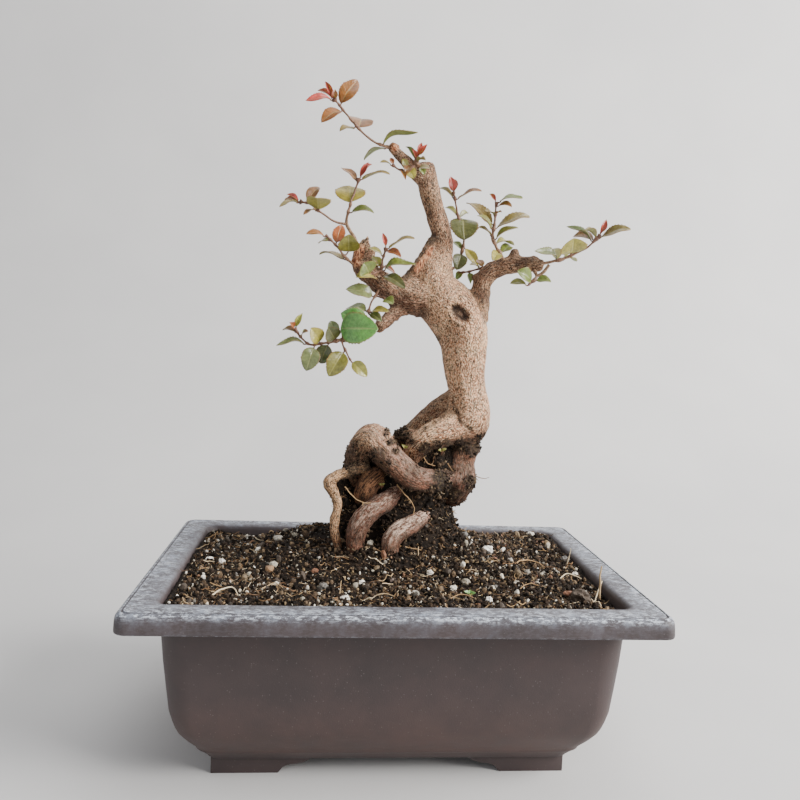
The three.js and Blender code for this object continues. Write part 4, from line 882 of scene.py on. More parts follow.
def bark():
    """Young sageretia bark: dry, dull tan, covered in short dark flecks that run along the limb. Roots turn
    rust and mauve-brown under grey dust, and torn places show raw wood. A painted highlight lies with the
    dust on the roots' upper, front-facing sides, and painted shade darkens the hollows, the folds and the
    roots' undersides."""
    material, tree = new_material("sageretia_bark")
    patterns = bark_patterns(tree, put(tree, "ShaderNodeTexCoord").outputs["Object"])
    fleck, fine = patterns["fleck"], patterns["fine"]
    redness, dust_and_highlight, raw, moss_and_underside_shade, shade, pale, gloom = [
        put(tree, "ShaderNodeAttribute", attribute_name=name).outputs["Fac"]
        for name in ("redness", "dust_and_highlight", "raw", "moss_and_underside_shade", "shade", "pale", "gloom")
    ]
    tan, rust, crust, wood = [
        put(tree, "ShaderNodeValToRGB", {"Fac": patterns[name]}, stops).outputs[0]
        for name, stops in (
            ("broad", [(0.36, "#b87751"), (0.5, "#eaa678"), (0.62, "#ffc592")]),
            ("broad", [(0.34, "#41211a"), (0.5, "#6e3a2b"), (0.66, "#965a45")]),
            ("crumbs", [(0.4, "#17100b"), (0.52, "#33261b"), (0.64, "#6d5e3e")]),
            ("fleck", [(0.4, "#4a281b"), (0.48, "#a05a38"), (0.58, "#e3ac80")]))
    ]
    dull = put(tree, "ShaderNodeMath", {0: redness, 1: gloom}, operation="MAXIMUM").outputs[0]
    bare = put(tree, "ShaderNodeMath", {0: 1.0, 1: dull}, operation="SUBTRACT", use_clamp=True).outputs[0]
    skin = tan
    for share, colour in ((redness, rust), (pale, "#d8a674"), (gloom, "#5f3f2c")):
        skin = put(tree, "ShaderNodeMix", {0: share, 6: skin, 7: colour}, data_type="RGBA").outputs[2]
    # Each cover: the mark it keeps to, its pattern, the values where it starts and is whole, and its colour
    # The dust cover is partly a painted highlight, and the moss cover is partly painted shade on the roots'
    # undersides
    for keeps_to, pattern, start, whole, colour in (
        (1.0, "fleck", 0.52, 0.45, "#301d12"), (bare, "fine", 0.52, 0.59, "#ffe0ba"),
        (1.0, "fine", 0.48, 0.4, "#3b2416"), (dust_and_highlight, "patches", 0.47, 0.57, "#e8cbb5"),
        (moss_and_underside_shade, "crumbs", 0.28, 0.38, crust),
    ):
        share = put(tree, "ShaderNodeMapRange", {
            "Value": patterns[pattern], "From Min": start, "From Max": whole}).outputs[0]
        share = put(tree, "ShaderNodeMath", {
            0: share, 1: keeps_to}, operation="MULTIPLY", use_clamp=True).outputs[0]
        skin = put(tree, "ShaderNodeMix", {0: share, 6: skin, 7: colour}, data_type="RGBA").outputs[2]
    for share, colour in ((raw, wood), (shade, "#2a1b14")):
        skin = put(tree, "ShaderNodeMix", {0: share, 6: skin, 7: colour}, data_type="RGBA").outputs[2]
    relief = put(tree, "ShaderNodeMath", {0: fleck, 1: 0.6, 2: fine}, operation="MULTIPLY_ADD").outputs[0]
    bump = put(tree, "ShaderNodeBump", {"Height": relief, "Strength": 1.0, "Distance": 0.0008}).outputs[0]
    shader = put(tree, "ShaderNodeBsdfPrincipled", {
        "Base Color": skin, "Roughness": 0.75, "Normal": bump, "IOR": 1.5, "Specular IOR Level": 0.35})
    put(tree, "ShaderNodeOutputMaterial", {"Surface": shader.outputs[0]})
    return material


def twig_bark():
    """Green wood of this year's shoots: thin, smooth, reddish-brown, tan on the older twigs"""
    material, tree = new_material("young_twig_bark")
    place = put(tree, "ShaderNodeTexCoord").outputs["Object"]
    fleck = put(tree, "ShaderNodeTexNoise", {"Vector": place, "Scale": 1500, "Detail": 3}).outputs[0]
    age = put(tree, "ShaderNodeAttribute", attribute_name="age").outputs["Fac"]
    young, old = [
        put(tree, "ShaderNodeValToRGB", {"Fac": fleck}, [(0.35, dark), (0.65, light)]).outputs[0]
        for dark, light in (("#4f3529", "#7f5844"), ("#5f4632", "#a98665"))
    ]
    colour = put(tree, "ShaderNodeMix", {0: age, 6: young, 7: old}, data_type="RGBA").outputs[2]
    bump = put(tree, "ShaderNodeBump", {"Height": fleck, "Strength": 0.5, "Distance": 0.0002}).outputs[0]
    shader = put(tree, "ShaderNodeBsdfPrincipled", {
        "Base Color": colour, "Roughness": 0.55, "Normal": bump, "IOR": 1.47})
    put(tree, "ShaderNodeOutputMaterial", {"Surface": shader.outputs[0]})
    return material


def leaf_veins(tree, along, off_middle):
    """Where a leaf has a side vein, its midrib and its edge. Seven side veins on each half slant towards the
    tip."""
    run = put(tree, "ShaderNodeMath", {0: along, 1: 7.5, 2: 0.0}, operation="MULTIPLY_ADD").outputs[0]
    slant = put(tree, "ShaderNodeMath", {
        0: off_middle, 1: -1.7, 2: run}, operation="MULTIPLY_ADD").outputs[0]
    beat = put(tree, "ShaderNodeMath", {0: slant}, operation="FRACT").outputs[0]
    beat = put(tree, "ShaderNodeMath", {0: beat, 1: 0.5}, operation="SUBTRACT").outputs[0]
    beat = put(tree, "ShaderNodeMath", {0: beat}, operation="ABSOLUTE").outputs[0]
    return [
        put(tree, "ShaderNodeMapRange", {"Value": value, "From Min": start, "From Max": whole}).outputs[0]
        for value, start, whole in ((beat, 0.14, 0.02), (off_middle, 0.1, 0.02), (off_middle, 0.84, 1))
    ]


def leaf_skin():
    """Sageretia leaves: leathery and waxy, so glossy, with sunken side veins, a lighter midrib, a paler dull
    underside and reddish teeth. Light comes through them a little."""
    material, tree = new_material("waxy_leaf")
    place = put(tree, "ShaderNodeTexCoord").outputs["Object"]
    where = put(tree, "ShaderNodeAttribute", attribute_name="leaf_place").outputs["Vector"]
    tint = put(tree, "ShaderNodeAttribute", attribute_name="tint").outputs["Vector"]
    side, along, under = put(tree, "ShaderNodeSeparateXYZ", {"Vector": where}).outputs
    off_middle = put(tree, "ShaderNodeMath", {0: side}, operation="ABSOLUTE").outputs[0]
    vein, rib, edge = leaf_veins(tree, along, off_middle)
    # Mottling of about 1 mm
    mottle = put(tree, "ShaderNodeTexNoise", {
        "Vector": place, "Scale": 700, "Detail": 4, "Roughness": 0.6}).outputs[0]
    tone = put(tree, "ShaderNodeMapRange", {
        "Value": mottle, "From Min": 0.3, "From Max": 0.7, "To Min": 0.6, "To Max": 1.3}).outputs[0]
    colour = put(tree, "ShaderNodeVectorMath", {0: tint, "Scale": tone}, operation="SCALE").outputs[0]
    for part, strength, cover in (
        (vein, 0.06, "#a9ad62"), (rib, 0.27, "#b3ad6e"), (edge, 0.5, "#8d5230"), (under, 0.25, "#8f9560"),
    ):
        share = put(tree, "ShaderNodeMath", {0: part, 1: strength}, operation="MULTIPLY").outputs[0]
        colour = put(tree, "ShaderNodeMix", {0: share, 6: colour, 7: cover}, data_type="RGBA").outputs[2]
    rough = put(tree, "ShaderNodeMath", {0: under, 1: 0.25, 2: 0.3}, operation="MULTIPLY_ADD").outputs[0]
    sunken = mottle
    for part, depth in ((vein, -0.3), (rib, -1)):
        sunken = put(tree, "ShaderNodeMath", {
            0: part, 1: depth, 2: sunken}, operation="MULTIPLY_ADD").outputs[0]
    bump = put(tree, "ShaderNodeBump", {"Height": sunken, "Strength": 0.45, "Distance": 0.0003}).outputs[0]
    shader = put(tree, "ShaderNodeBsdfPrincipled", {
        "Base Color": colour, "Roughness": rough, "Normal": bump, "IOR": 1.45, "Subsurface Weight": 0.1,
        "Subsurface Radius": (0.0006, 0.0009, 0.0003), "Subsurface Scale": 1, "Coat Weight": 0.35,
        "Coat Roughness": 0.22})
    put(tree, "ShaderNodeOutputMaterial", {"Surface": shader.outputs[0]})
    return material


def ground_finish(name, tones, pattern, spots, relief, shine):
    """A matt finish that takes each grain's own tone. A spot is given as the pattern's values where it starts
    and is whole, its strength and its colour."""
    material, tree = new_material(name)
    place = put(tree, "ShaderNodeTexCoord").outputs["Object"]
    tone = put(tree, "ShaderNodeAttribute", attribute_name="tone").outputs["Fac"]
    colour = put(tree, "ShaderNodeValToRGB", {"Fac": tone}, tones).outputs[0]
    fine = put(tree, "ShaderNodeTexNoise", {"Vector": place, **pattern}).outputs[0]
    for start, whole, strength, cover in spots:
        share = put(tree, "ShaderNodeMapRange", {
            "Value": fine, "From Min": start, "From Max": whole, "To Max": strength}).outputs[0]
        colour = put(tree, "ShaderNodeMix", {0: share, 6: colour, 7: cover}, data_type="RGBA").outputs[2]
    bump = put(tree, "ShaderNodeBump", {"Height": fine, **relief}).outputs[0]
    shader = put(tree, "ShaderNodeBsdfPrincipled", {"Base Color": colour, "Normal": bump, **shine})
    put(tree, "ShaderNodeOutputMaterial", {"Surface": shader.outputs[0]})
    return material


def peat():
    """Damp peat and bark compost: almost black, crumbly, without gloss. Each crumb has a shade of its own."""
    return ground_finish(
        "damp_peat",
        [(0.0, "#14100d"), (0.5, "#261e18"), (0.74, "#3b2f26"), (0.9, "#5d4c3c"), (1.0, "#857159")],
        {"Scale": 1300, "Detail": 5, "Roughness": 0.75},
        [(0.57, 0.7, 0.5, "#8b745a"), (0.46, 0.34, 0.7, "#120e0b")],
        {"Strength": 0.9, "Distance": 0.0006}, {"Roughness": 0.9, "IOR": 1.4, "Specular IOR Level": 0.25})


def grit():
    """Washed river grit and pumice mixed into the peat: white, beige, grey, brown and some orange stones,
    matt, dusty"""
    return ground_finish(
        "river_grit", [
            (0.0, "#2e2720"), (0.3, "#4c4035"), (0.5, "#776449"), (0.62, "#a68b63"), (0.66, "#80543c"),
            (0.7, "#6c6966"), (0.8, "#9b9382"), (0.88, "#d3cab6"), (1.0, "#f6f1e7")],
        {"Scale": 1600, "Detail": 4, "Roughness": 0.7}, [(0.5, 0.36, 0.6, "#4a3c2f")],
        {"Strength": 0.5, "Distance": 0.0003}, {"Roughness": 0.7, "IOR": 1.54, "Specular IOR Level": 0.4})


def dry_fibre():
    """Coir and dead root fibres: dry and dull, straw to pinkish brown"""
    return ground_finish(
        "coir_fibre", [(0.0, "#54402f"), (0.35, "#8a6748"), (0.7, "#b7976d"), (1.0, "#e2d2b3")],
        {"Scale": 2500, "Detail": 2}, [], {"Strength": 0.4, "Distance": 0.0001},
        {"Roughness": 0.8, "IOR": 1.5, "Specular IOR Level": 0.25})


def studio_paper():
    """Matt paper roll: an even, warm light grey"""
    material, tree = new_material("studio_paper")
    place = put(tree, "ShaderNodeTexCoord").outputs["Object"]
    fibre = put(tree, "ShaderNodeTexNoise", {"Vector": place, "Scale": 6, "Detail": 3}).outputs[0]
    colour = put(tree, "ShaderNodeValToRGB", {"Fac": fibre}, [(0.3, "#c8c7c7"), (0.7, "#d0cfce")]).outputs[0]
    shader = put(tree, "ShaderNodeBsdfPrincipled", {"Base Color": colour, "Roughness": 0.9})
    put(tree, "ShaderNodeOutputMaterial", {"Surface": shader.outputs[0]})
    return material


# Pot

def rounded_ring(inset, corner, steps):
    """A ring round the pot at an inset from the rim's edge, anticlockwise from above, with a corner radius"""
    half_length = RIM_LENGTH / 2 - inset - corner
    half_width = RIM_WIDTH / 2 - inset - corner
    ring = []
    for turn, (side_x, side_y) in enumerate([(1, 1), (-1, 1), (-1, -1), (1, -1)]):
        for i in range(steps + 1):
            angle = math.radians(90 * turn + 90 * i / steps)
            x = side_x * half_length + corner * math.cos(angle)
            ring.append((x, side_y * half_width + corner * math.sin(angle)))
    return ring


def body_corner(z):
    share = min(max((z - FLOOR_UNDERSIDE) / (POT_HEIGHT - FLOOR_UNDERSIDE), 0), 1)
    return BODY_CORNER_BOTTOM + (BODY_CORNER_TOP - BODY_CORNER_BOTTOM) * math.sqrt(share)


def wall_inset(z):
    heights = [row[0] for row in reversed(WALL_PROFILE)]
    insets = [row[1] for row in reversed(WALL_PROFILE)]
    return float(np.interp(z, heights, insets))


def ring_shell(name, rings, steps):
    """A closed shell over rings that are given as height, inset and corner radius"""
    points = [(x, y, z) for z, inset, corner, *_ in rings for x, y in rounded_ring(inset, corner, steps)]
    walls, bottom, top = tube_faces(len(rings), 4 * (steps + 1))
    return mesh_object(name, points, [bottom] + walls + [top])


def pot_rings():
    """The pot's section from the floor, up its outside, over the rim and down inside. Each ring is a height,
    an inset, a corner radius and how chalked and how rubbed it is."""
    outside = [(z, inset, body_corner(z), 0, 0) for z, inset in reversed(WALL_PROFILE)]
    top = POT_HEIGHT
    low = POT_HEIGHT - LIP_DROP
    rim = [
        (72.9, 11.2, 12.6, 0, 0), (72.9, LIP_WALL + 0.9, 4.2, 0.2, 0), (72.3, LIP_WALL + 0.3, 4, 0.2, 0),
        (low + 0.3, LIP_WALL, 4, 0.2, 0), (low, LIP_WALL - 0.3, 4.2, 0.25, 0.2), (low, 0.4, 4.6, 0.3, 0.6),
        (low + 0.12, 0.12, 4.9, 0.3, 0.9), (low + 0.4, 0, 5, 0.18, 0.4), (low + 1.2, 0, 5, 0.14, 0.15),
        (low + 3.6, 0.1, 5, 0.18, 0.15), (low + 5, 0.25, 5, 0.32, 0.22), (low + 6, 0.45, 5, 0.6, 0.6),
        (top - 0.75, 0.95, 4.8, 0.9, 1), (top - 0.3, 1.6, 4.4, 1, 1), (top - 0.12, 2.1, 4, 1, 0.8),
        (top - 0.6, 2.4, 3.8, 0.3, 0), (top - 0.6, 2.75, 3.8, 0.3, 0), (top - 0.05, 3.0, 3.8, 1, 0.8),
        (top, 3.6, 4, 1, 0.8), (top, 6.5, 4.4, 1, 0.6), (top, 9.5, 4.6, 0.9, 0.45),
        (top - 0.05, 11.6, 4.4, 0.75, 0.3), (top - 0.3, 12.6, 4.2, 0.55, 0.1),
        (top - 0.9, FLANGE_WIDTH, 4.2, 0.2, 0), (top - 2.4, FLANGE_WIDTH + 0.3, 7, 0.03, 0),
        (70.4, FLANGE_WIDTH + 0.6, 9.6, 0.05, 0),
    ]
    inside = [(z, wall_inset(z) + WALL, body_corner(z) - WALL, 0, 0) for z in INSIDE_HEIGHTS]
    floor = (FLOOR_UNDERSIDE + FLOOR_THICKNESS, wall_inset(INSIDE_HEIGHTS[-1]) + WALL + FLOOR_FILLET)
    return outside + rim + inside + [(*floor, BODY_CORNER_BOTTOM - WALL, 0, 0)]


def drain_holes():
    """Nine square holes at each end of the floor, as one cutter"""
    work = bmesh.new()
    steps = (-1, 0, 1)
    for side, column, row in itertools.product((-1, 1), steps, steps):
        x = side * DRAIN_CENTRE + column * DRAIN_PITCH
        place = Matrix.Translation(Vector((x, row * DRAIN_PITCH, FLOOR_UNDERSIDE + 1)) * MM)
        size = Matrix.Diagonal((DRAIN_HOLE * MM, DRAIN_HOLE * MM, 3 * FLOOR_THICKNESS * MM, 1))
        bmesh.ops.create_cube(work, size=1, matrix=place @ size)
    return add_object("drain_holes", finished_mesh(work, "drain_holes"))


def combine(thing, other, operation, name):
    """The exact union or difference of two objects as a plain mesh object. Both sources go."""
    cut = thing.modifiers.new("combine", "BOOLEAN")
    cut.operation = operation
    cut.object = other
    cut.solver = "EXACT"
    if operation == "UNION":
        soften = thing.modifiers.new("soften", "BEVEL")
        soften.width = FOOT_EDGE * MM
        soften.segments = 3
        soften.limit_method = "ANGLE"
        soften.angle_limit = math.radians(50)
    whole = plain_copy(thing, name)
    bpy.data.objects.remove(other)
    return whole


def make_pot(plastic):
    """Tapered shell with a hanging lip round its flat rim, nine drain holes at each end and four bracket
    feet"""
    rings = pot_rings()
    shell = ring_shell("pot_shell", rings, CORNER_STEPS)
    for column, name in ((3, "chalk"), (4, "rubbed")):
        mark(shell.data, name, np.repeat([ring[column] for ring in rings], 4 * (CORNER_STEPS + 1)))
    shell.data.materials.append(plastic)
    shell = combine(shell, drain_holes(), "DIFFERENCE", "pot_body")
    feet = joined("pot_feet", [foot(side_x, side_y, plastic) for side_x in (-1, 1) for side_y in (-1, 1)])
    for piece in (shell, feet):
        settle(piece, "pot")
        piece.data.set_sharp_from_angle(angle=math.radians(38))


def bracket(corner, run, across, share):
    """One scroll-cut bracket, drawn along the pot's edge from the corner and given its thickness"""
    points = []
    for depth in (0, FOOT_THICKNESS):
        for along, z in FOOT_SCROLL:
            spot = corner + run * along * share + across * depth
            points.append((spot[0], spot[1], z))
    count = len(FOOT_SCROLL)
    faces = [tuple(range(count)), tuple(range(2 * count - 1, count - 1, -1))]
    faces += [((i + 1) % count, i, i + count, (i + 1) % count + count) for i in range(count)]
    thing = mesh_object("bracket", points, faces)
    work = bmesh.new()
    work.from_mesh(thing.data)
    bmesh.ops.recalc_face_normals(work, faces=work.faces)
    work.to_mesh(thing.data)
    work.free()
    return thing


def foot(side_x, side_y, plastic):
    """Two brackets that meet at a corner of the floor, as one moulding with softened edges"""
    corner = np.array([side_x * (RIM_LENGTH / 2 - FOOT_INSET), side_y * (RIM_WIDTH / 2 - FOOT_INSET)])
    inwards_x, inwards_y = np.array([-side_x, 0]), np.array([0, -side_y])
    long_side = bracket(corner, inwards_x, inwards_y, 1)
    short_side = bracket(corner, inwards_y, inwards_x, FOOT_SHORT_SHARE)
    moulding = combine(long_side, short_side, "UNION", "foot")
    for name in ("chalk", "rubbed"):
        mark(moulding.data, name, np.zeros(len(moulding.data.vertices)))
    moulding.data.materials.append(plastic)
    return moulding


# Trunk, branches and roots

def limb_mesh(readings, sides, step, extra):
    """Rings of points round a limb, closed with a round end at its tip and a flat one at its hidden start"""
    points, radius, tangent, normal, side = limb_track(readings, step)
    angles = np.linspace(0, 2 * math.pi, sides, endpoint=False)
    cosine, sine = np.cos(angles)[:, None], np.sin(angles)[:, None]
    rings = [p + (r + extra) * (cosine * n + sine * b) for p, r, n, b in zip(points, radius, normal, side)]
    end = radius[-1] + extra
    spread = cosine * normal[-1] + sine * side[-1]
    rings += [points[-1] + reach * end * tangent[-1] + share * end * spread for reach, share in ROUND_END]
    walls, bottom, top = tube_faces(len(rings), sides)
    return np.vstack(rings), [bottom] + walls + [top]


def neighbour_average(mesh, values, rounds):
    """Values at a mesh's vertices, each blended with its neighbours' several times"""
    flat = np.empty(2 * len(mesh.edges), int)
    mesh.edges.foreach_get("vertices", flat)
    one, other = flat.reshape(-1, 2).T
    count = np.bincount(one, minlength=len(values)) + np.bincount(other, minlength=len(values))
    values = np.array(values, float)
    columns = values.reshape(len(values), -1)
    for _ in range(rounds):
        total = np.empty_like(columns)
        for c in range(columns.shape[1]):
            total[:, c] = (np.bincount(one, columns[other, c], len(values))
                           + np.bincount(other, columns[one, c], len(values))) / count
        columns = 0.5 * columns + 0.5 * total
    return columns.reshape(values.shape)


def limb_samples():
    """Points along every limb: place, tangent, two cross directions, radius, run so far, whole run and its
    number"""
    samples = []
    for number, readings in enumerate(LIMBS.values()):
        track, radius, tangent, normal, side = limb_track(readings, 1)
        run = np.concatenate([[0], np.cumsum(np.linalg.norm(np.diff(track, axis=0), axis=1))])
        whole, numbers = np.full(len(track), run[-1]), np.full(len(track), float(number))
        samples.append(np.column_stack([track, tangent, normal, side, radius, run, whole, numbers]))
    return np.vstack(samples)


def nearest_limb(points):
    """For each point: the limb that it lies on, the share of its run, its radius and the straightened
    coordinates"""
    samples = limb_samples()
    best = np.empty(len(points), int)
    for first in range(0, len(points), 3000):
        block = points[first:first + 3000]
        gap = np.linalg.norm(block[:, None] - samples[None, :, :3], axis=2) - samples[None, :, 12]
        best[first:first + 3000] = np.argmin(gap, axis=1)
    track, tangent, normal, side, rest = np.split(samples[best], [3, 6, 9, 12], axis=1)
    radius, run, whole, number = rest.T
    off = points - track
    along = run + np.sum(off * tangent, axis=1)
    grain = np.stack([np.sum(off * normal, axis=1), np.sum(off * side, axis=1), along + 40 * number], axis=1)
    return np.array(list(LIMBS))[number.astype(int)], along / whole, radius, grain


def grown_wood():
    """The limbs and splinters grown together under one skin. Its smoothing is least at the torn stub, whose
    splinters stay crisp, and most at the trunk's foot."""
    points, faces = [], []
    for readings in list(LIMBS.values()) + SPLINTERS:
        thick = max(reading[3] for reading in readings)
        rings, skin = limb_mesh(readings, 24 if thick > 4 else 12, 1, 0.12 if thick > 2.5 else 0.2)
        offset = sum(len(p) for p in points)
        points.append(rings)
        faces.extend(tuple(i + offset for i in face) for face in skin)
    rough = mesh_object("limbs", np.vstack(points), faces)
    grown = rough.modifiers.new("grown_together", "REMESH")
    grown.mode = "VOXEL"
    grown.voxel_size = BARK_VOXEL * MM
    grown.use_smooth_shade = True
    tree = plain_copy(rough, "bark_and_roots")
    mesh = tree.data
    places = mesh_points(mesh)
    soft = smoothstep(15, 7, np.linalg.norm(places - seen(*TRUNK_FOOT), axis=1))[:, None]
    stub = (places[:, 0] < -9) & (places[:, 2] > 204)
    crisp = np.where(stub[:, None], neighbour_average(mesh, places, 1), neighbour_average(mesh, places, 5))
    set_points(mesh, (1 - soft) * crisp + soft * neighbour_average(mesh, places, 45))
    return tree


def read_skin(mesh):
    """What the marks on the bark are worked out from: places, heights, normals and what limb each place is
    on"""
    places, normals = mesh_points(mesh), mesh_normals(mesh)
    limb, share, girth, grain = nearest_limb(places)
    return SimpleNamespace(
        places=places, normals=normals, height=places[:, 2], upward=normals[:, 2], limb=limb, share=share,
        girth=girth, grain=grain)


def on_limbs(skin, *names):
    return np.isin(skin.limb, names)


def by_limb(skin, table, otherwise):
    return np.array([table.get(name, otherwise) for name in skin.limb])


def bark_redness(skin):
    """Roots redden from their start to their end, and limbs on their undersides"""
    redness = np.zeros(len(skin.places))
    for name, (start, end) in ROOT_REDNESS.items():
        on = on_limbs(skin, name)
        redness[on] = start + (end - start) * np.clip(skin.share[on], 0, 1)
    apex = np.linalg.norm(skin.places - seen(*ARCH_APEX), axis=1)
    redness *= np.where(on_limbs(skin, "arch_root"), smoothstep(2, 14, apex), 1)
    foot_red = 0.8 * smoothstep(0.1, -0.7, skin.upward) * smoothstep(142, 132, skin.height)
    redness = np.where(on_limbs(skin, "trunk", "front_root"), foot_red, redness)
    under = 0.15 + 0.6 * smoothstep(0.75, -0.5, skin.upward)
    limb_red = np.maximum(under, 0.65 * on_limbs(skin, "low_limb"))
    redness = np.where(on_limbs(skin, "left_limb", "low_limb"), limb_red, redness)
    redness = np.where(on_limbs(skin, "top_limb"), 0.5, redness)
    return np.where(on_limbs(skin, "pale_root"), 0.5 + 0.4 * smoothstep(92, 80, skin.height), redness)


def bark_gloom(skin):
    """How dull and dark the bark is: old branches, the leader, the lower roots and darker patches on the
    trunk, most of them along its left side
    """
    gloom = by_limb(skin, LIMB_GLOOM, 0.0)
    leader = np.maximum(0.85 * smoothstep(205, 222, skin.height), 0.22 * smoothstep(182, 192, skin.height))
    gloom = np.where(on_limbs(skin, "trunk"), leader, gloom)
    gloom = np.where(on_limbs(skin, "low_root"), 0.5 * smoothstep(0.3, 0.75, skin.share), gloom)
    blotch = 0.4 * noise_at(skin.places, 3, 32)
    for x, z, reach, strength in TRUNK_DARK_PATCHES:
        far = off_sight(skin.places, x, z) / reach + blotch
        gloom = np.maximum(gloom, strength * smoothstep(1.2, 0.3, far))
    return np.clip(gloom * (0.75 + 0.5 * noise_at(skin.places, 5, 31)), 0, 1)


def bark_dust_and_highlight(skin):
    """Grey dust on the upper sides, thick on the lower roots, together with a painted highlight: both are
    strongest where the bark faces up and towards the front
    """
    facing = smoothstep(0.05, 0.9, skin.upward - 0.45 * skin.normals[:, 1])
    return by_limb(skin, ROOT_DUST_AND_HIGHLIGHT, 0.1) * facing


def bark_crust(skin):
    """Where crusts of peat and moss, or dark flakes, stand on the bark"""
    ragged = 0.45 * noise_at(skin.places, 2.2, 16) + 0.3 * noise_at(skin.places, 0.9, 17)
    crust = np.zeros(len(skin.places))
    for x, z, reach, strength in CRUSTS:
        far = off_sight(skin.places, x, z) / reach
        crust = np.maximum(crust, strength * smoothstep(1.35, 0.85, far + ragged))
    return crust * np.where(on_limbs(skin, "red_root"), 0.1, 1)


def bark_folds(skin):
    """Where the bark folds at the trunk's foot"""
    nearest = np.full(len(skin.places), 9.0)
    for line in CREASES:
        for (x, z), (next_x, next_z) in zip(line[:-1], line[1:]):
            for step in np.linspace(0, 1, 7):
                far = off_sight(skin.places, x + step * (next_x - x), z + step * (next_z - z))
                nearest = np.minimum(nearest, far)
    facing = (skin.places[:, 1] < 5) & (skin.normals[:, 1] < 0.2)
    return np.exp(-(nearest / 0.6 + 0.4 * noise_at(skin.places, 1.6, 35)) ** 2) * facing


def torn_wood(skin):
    raw = np.zeros(len(skin.places))
    ragged = 0.5 * noise_at(skin.places, 1.4, 8)
    for x, z, reach in RAW_WOOD:
        far = off_sight(skin.places, x, z) + ragged
        raw = np.maximum(raw, smoothstep(reach * 1.25, reach * 0.9, far) * (skin.normals[:, 1] < 0.4))
    return raw


def knot_reach(skin):
    """How far out each place is from the knot's middle, where its rim is 1"""
    centre = seen(KNOT["x"], KNOT["z"], KNOT["y"])
    tilt = math.radians(KNOT["tilt"])
    across, up = skin.places[:, 0] - centre[0], skin.height - centre[2]
    u = (across * math.cos(tilt) + up * math.sin(tilt)) / KNOT["half_length"]
    w = (up * math.cos(tilt) - across * math.sin(tilt)) / KNOT["half_width"]
    ragged = np.hypot(u, w) + 0.12 * noise_at(skin.places, 1.5, 9)
    return np.where(skin.places[:, 1] < 5, ragged, 9)


def bark_relief(skin):
    """Flutes and grooves that run along each limb, deeper on the roots' flare, with lumps and fine ridges"""
    places, grain = skin.places, skin.grain
    flare = on_limbs(skin, "front_root", "back_root", "arch_root")
    rooty = ~on_limbs(skin, "trunk", "right_branch", "top_limb", "left_limb", "low_limb", "branch_knob")
    rugged = on_limbs(skin, "right_branch", "branch_knob", "right_root", "left_limb", "low_limb")
    thin = np.minimum(skin.girth / 5, 1)
    groove = noise_at(grain, np.array([2.0, 2.0, 11]), 2)
    ridge = 1 - 2 * np.abs(noise_at(grain, np.array([1.7, 1.7, 6.5]), 14))
    flute = noise_at(grain, np.array([4.2, 4.2, 26]), 1)
    rise = 0.5 * flute * np.minimum(skin.girth / 8, 1) + 0.35 * noise_at(places, 9, 3) * thin
    rise += np.where(flare, 0.55, 0.2) * np.where(groove < 0, groove * 1.3, groove * 0.4)
    rise += np.where(rugged, 0.55, np.where(rooty, 0.34, 0.14)) * noise_at(places, 3.4, 4)
    rise += 0.16 * noise_at(grain, np.array([0.9, 0.9, 2.2]), 5)
    return rise + 0.12 * ridge * thin


def make_tree(bark_material):
    """The woody parts as one grown skin with its flutes, grooves, scars and knot hollow"""
    tree = grown_wood()
    mesh = tree.data
    skin = read_skin(mesh)
    # Flaky plates stand on the left limbs
    flaky = smoothstep(0.45, -0.3, skin.upward) * on_limbs(skin, "left_limb", "low_limb")
    plates = np.round(2.2 * noise_at(skin.places, np.array([3.2, 3.2, 2.2]), 6)) / 2.2
    crust, fold, raw, ring = bark_crust(skin), bark_folds(skin), torn_wood(skin), knot_reach(skin)
    rise = bark_relief(skin) + 0.75 * flaky * plates + crust * (0.35 + 0.5 * noise_at(skin.places, 1.3, 18))
    rise += raw * (0.35 + 0.7 * noise_at(skin.places, np.array([1.2, 1.2, 2.6]), 7)) - 0.7 * fold
    rise += 0.45 * np.exp(-((ring - 1.2) / 0.2) ** 2) - KNOT["depth"] * smoothstep(1.0, 0.5, ring)
    set_points(mesh, skin.places + skin.normals * rise[:, None])
    # Painted light: the red root is made paler, as though lit, where it lies in the shade of the arch
    pale = np.where(
        on_limbs(skin, "pale_root"), 0.2 + 0.6 * smoothstep(80, 100, skin.height),
        0.36 * on_limbs(skin, "red_root"))
    broad_marks = {
        "redness": bark_redness(skin), "pale": pale, "dust_and_highlight": bark_dust_and_highlight(skin), "gloom": bark_gloom(skin),
    }
    for name, values in broad_marks.items():
        mark(mesh, name, neighbour_average(mesh, values, 14))
    mark(mesh, "raw", neighbour_average(mesh, raw, 1))
    mark(mesh, "grain", skin.grain)
    mark_hollows(mesh, skin, flaky, crust, fold, ring)
    mesh.materials.append(bark_material)
    return settle(tree, "trunk_and_roots")


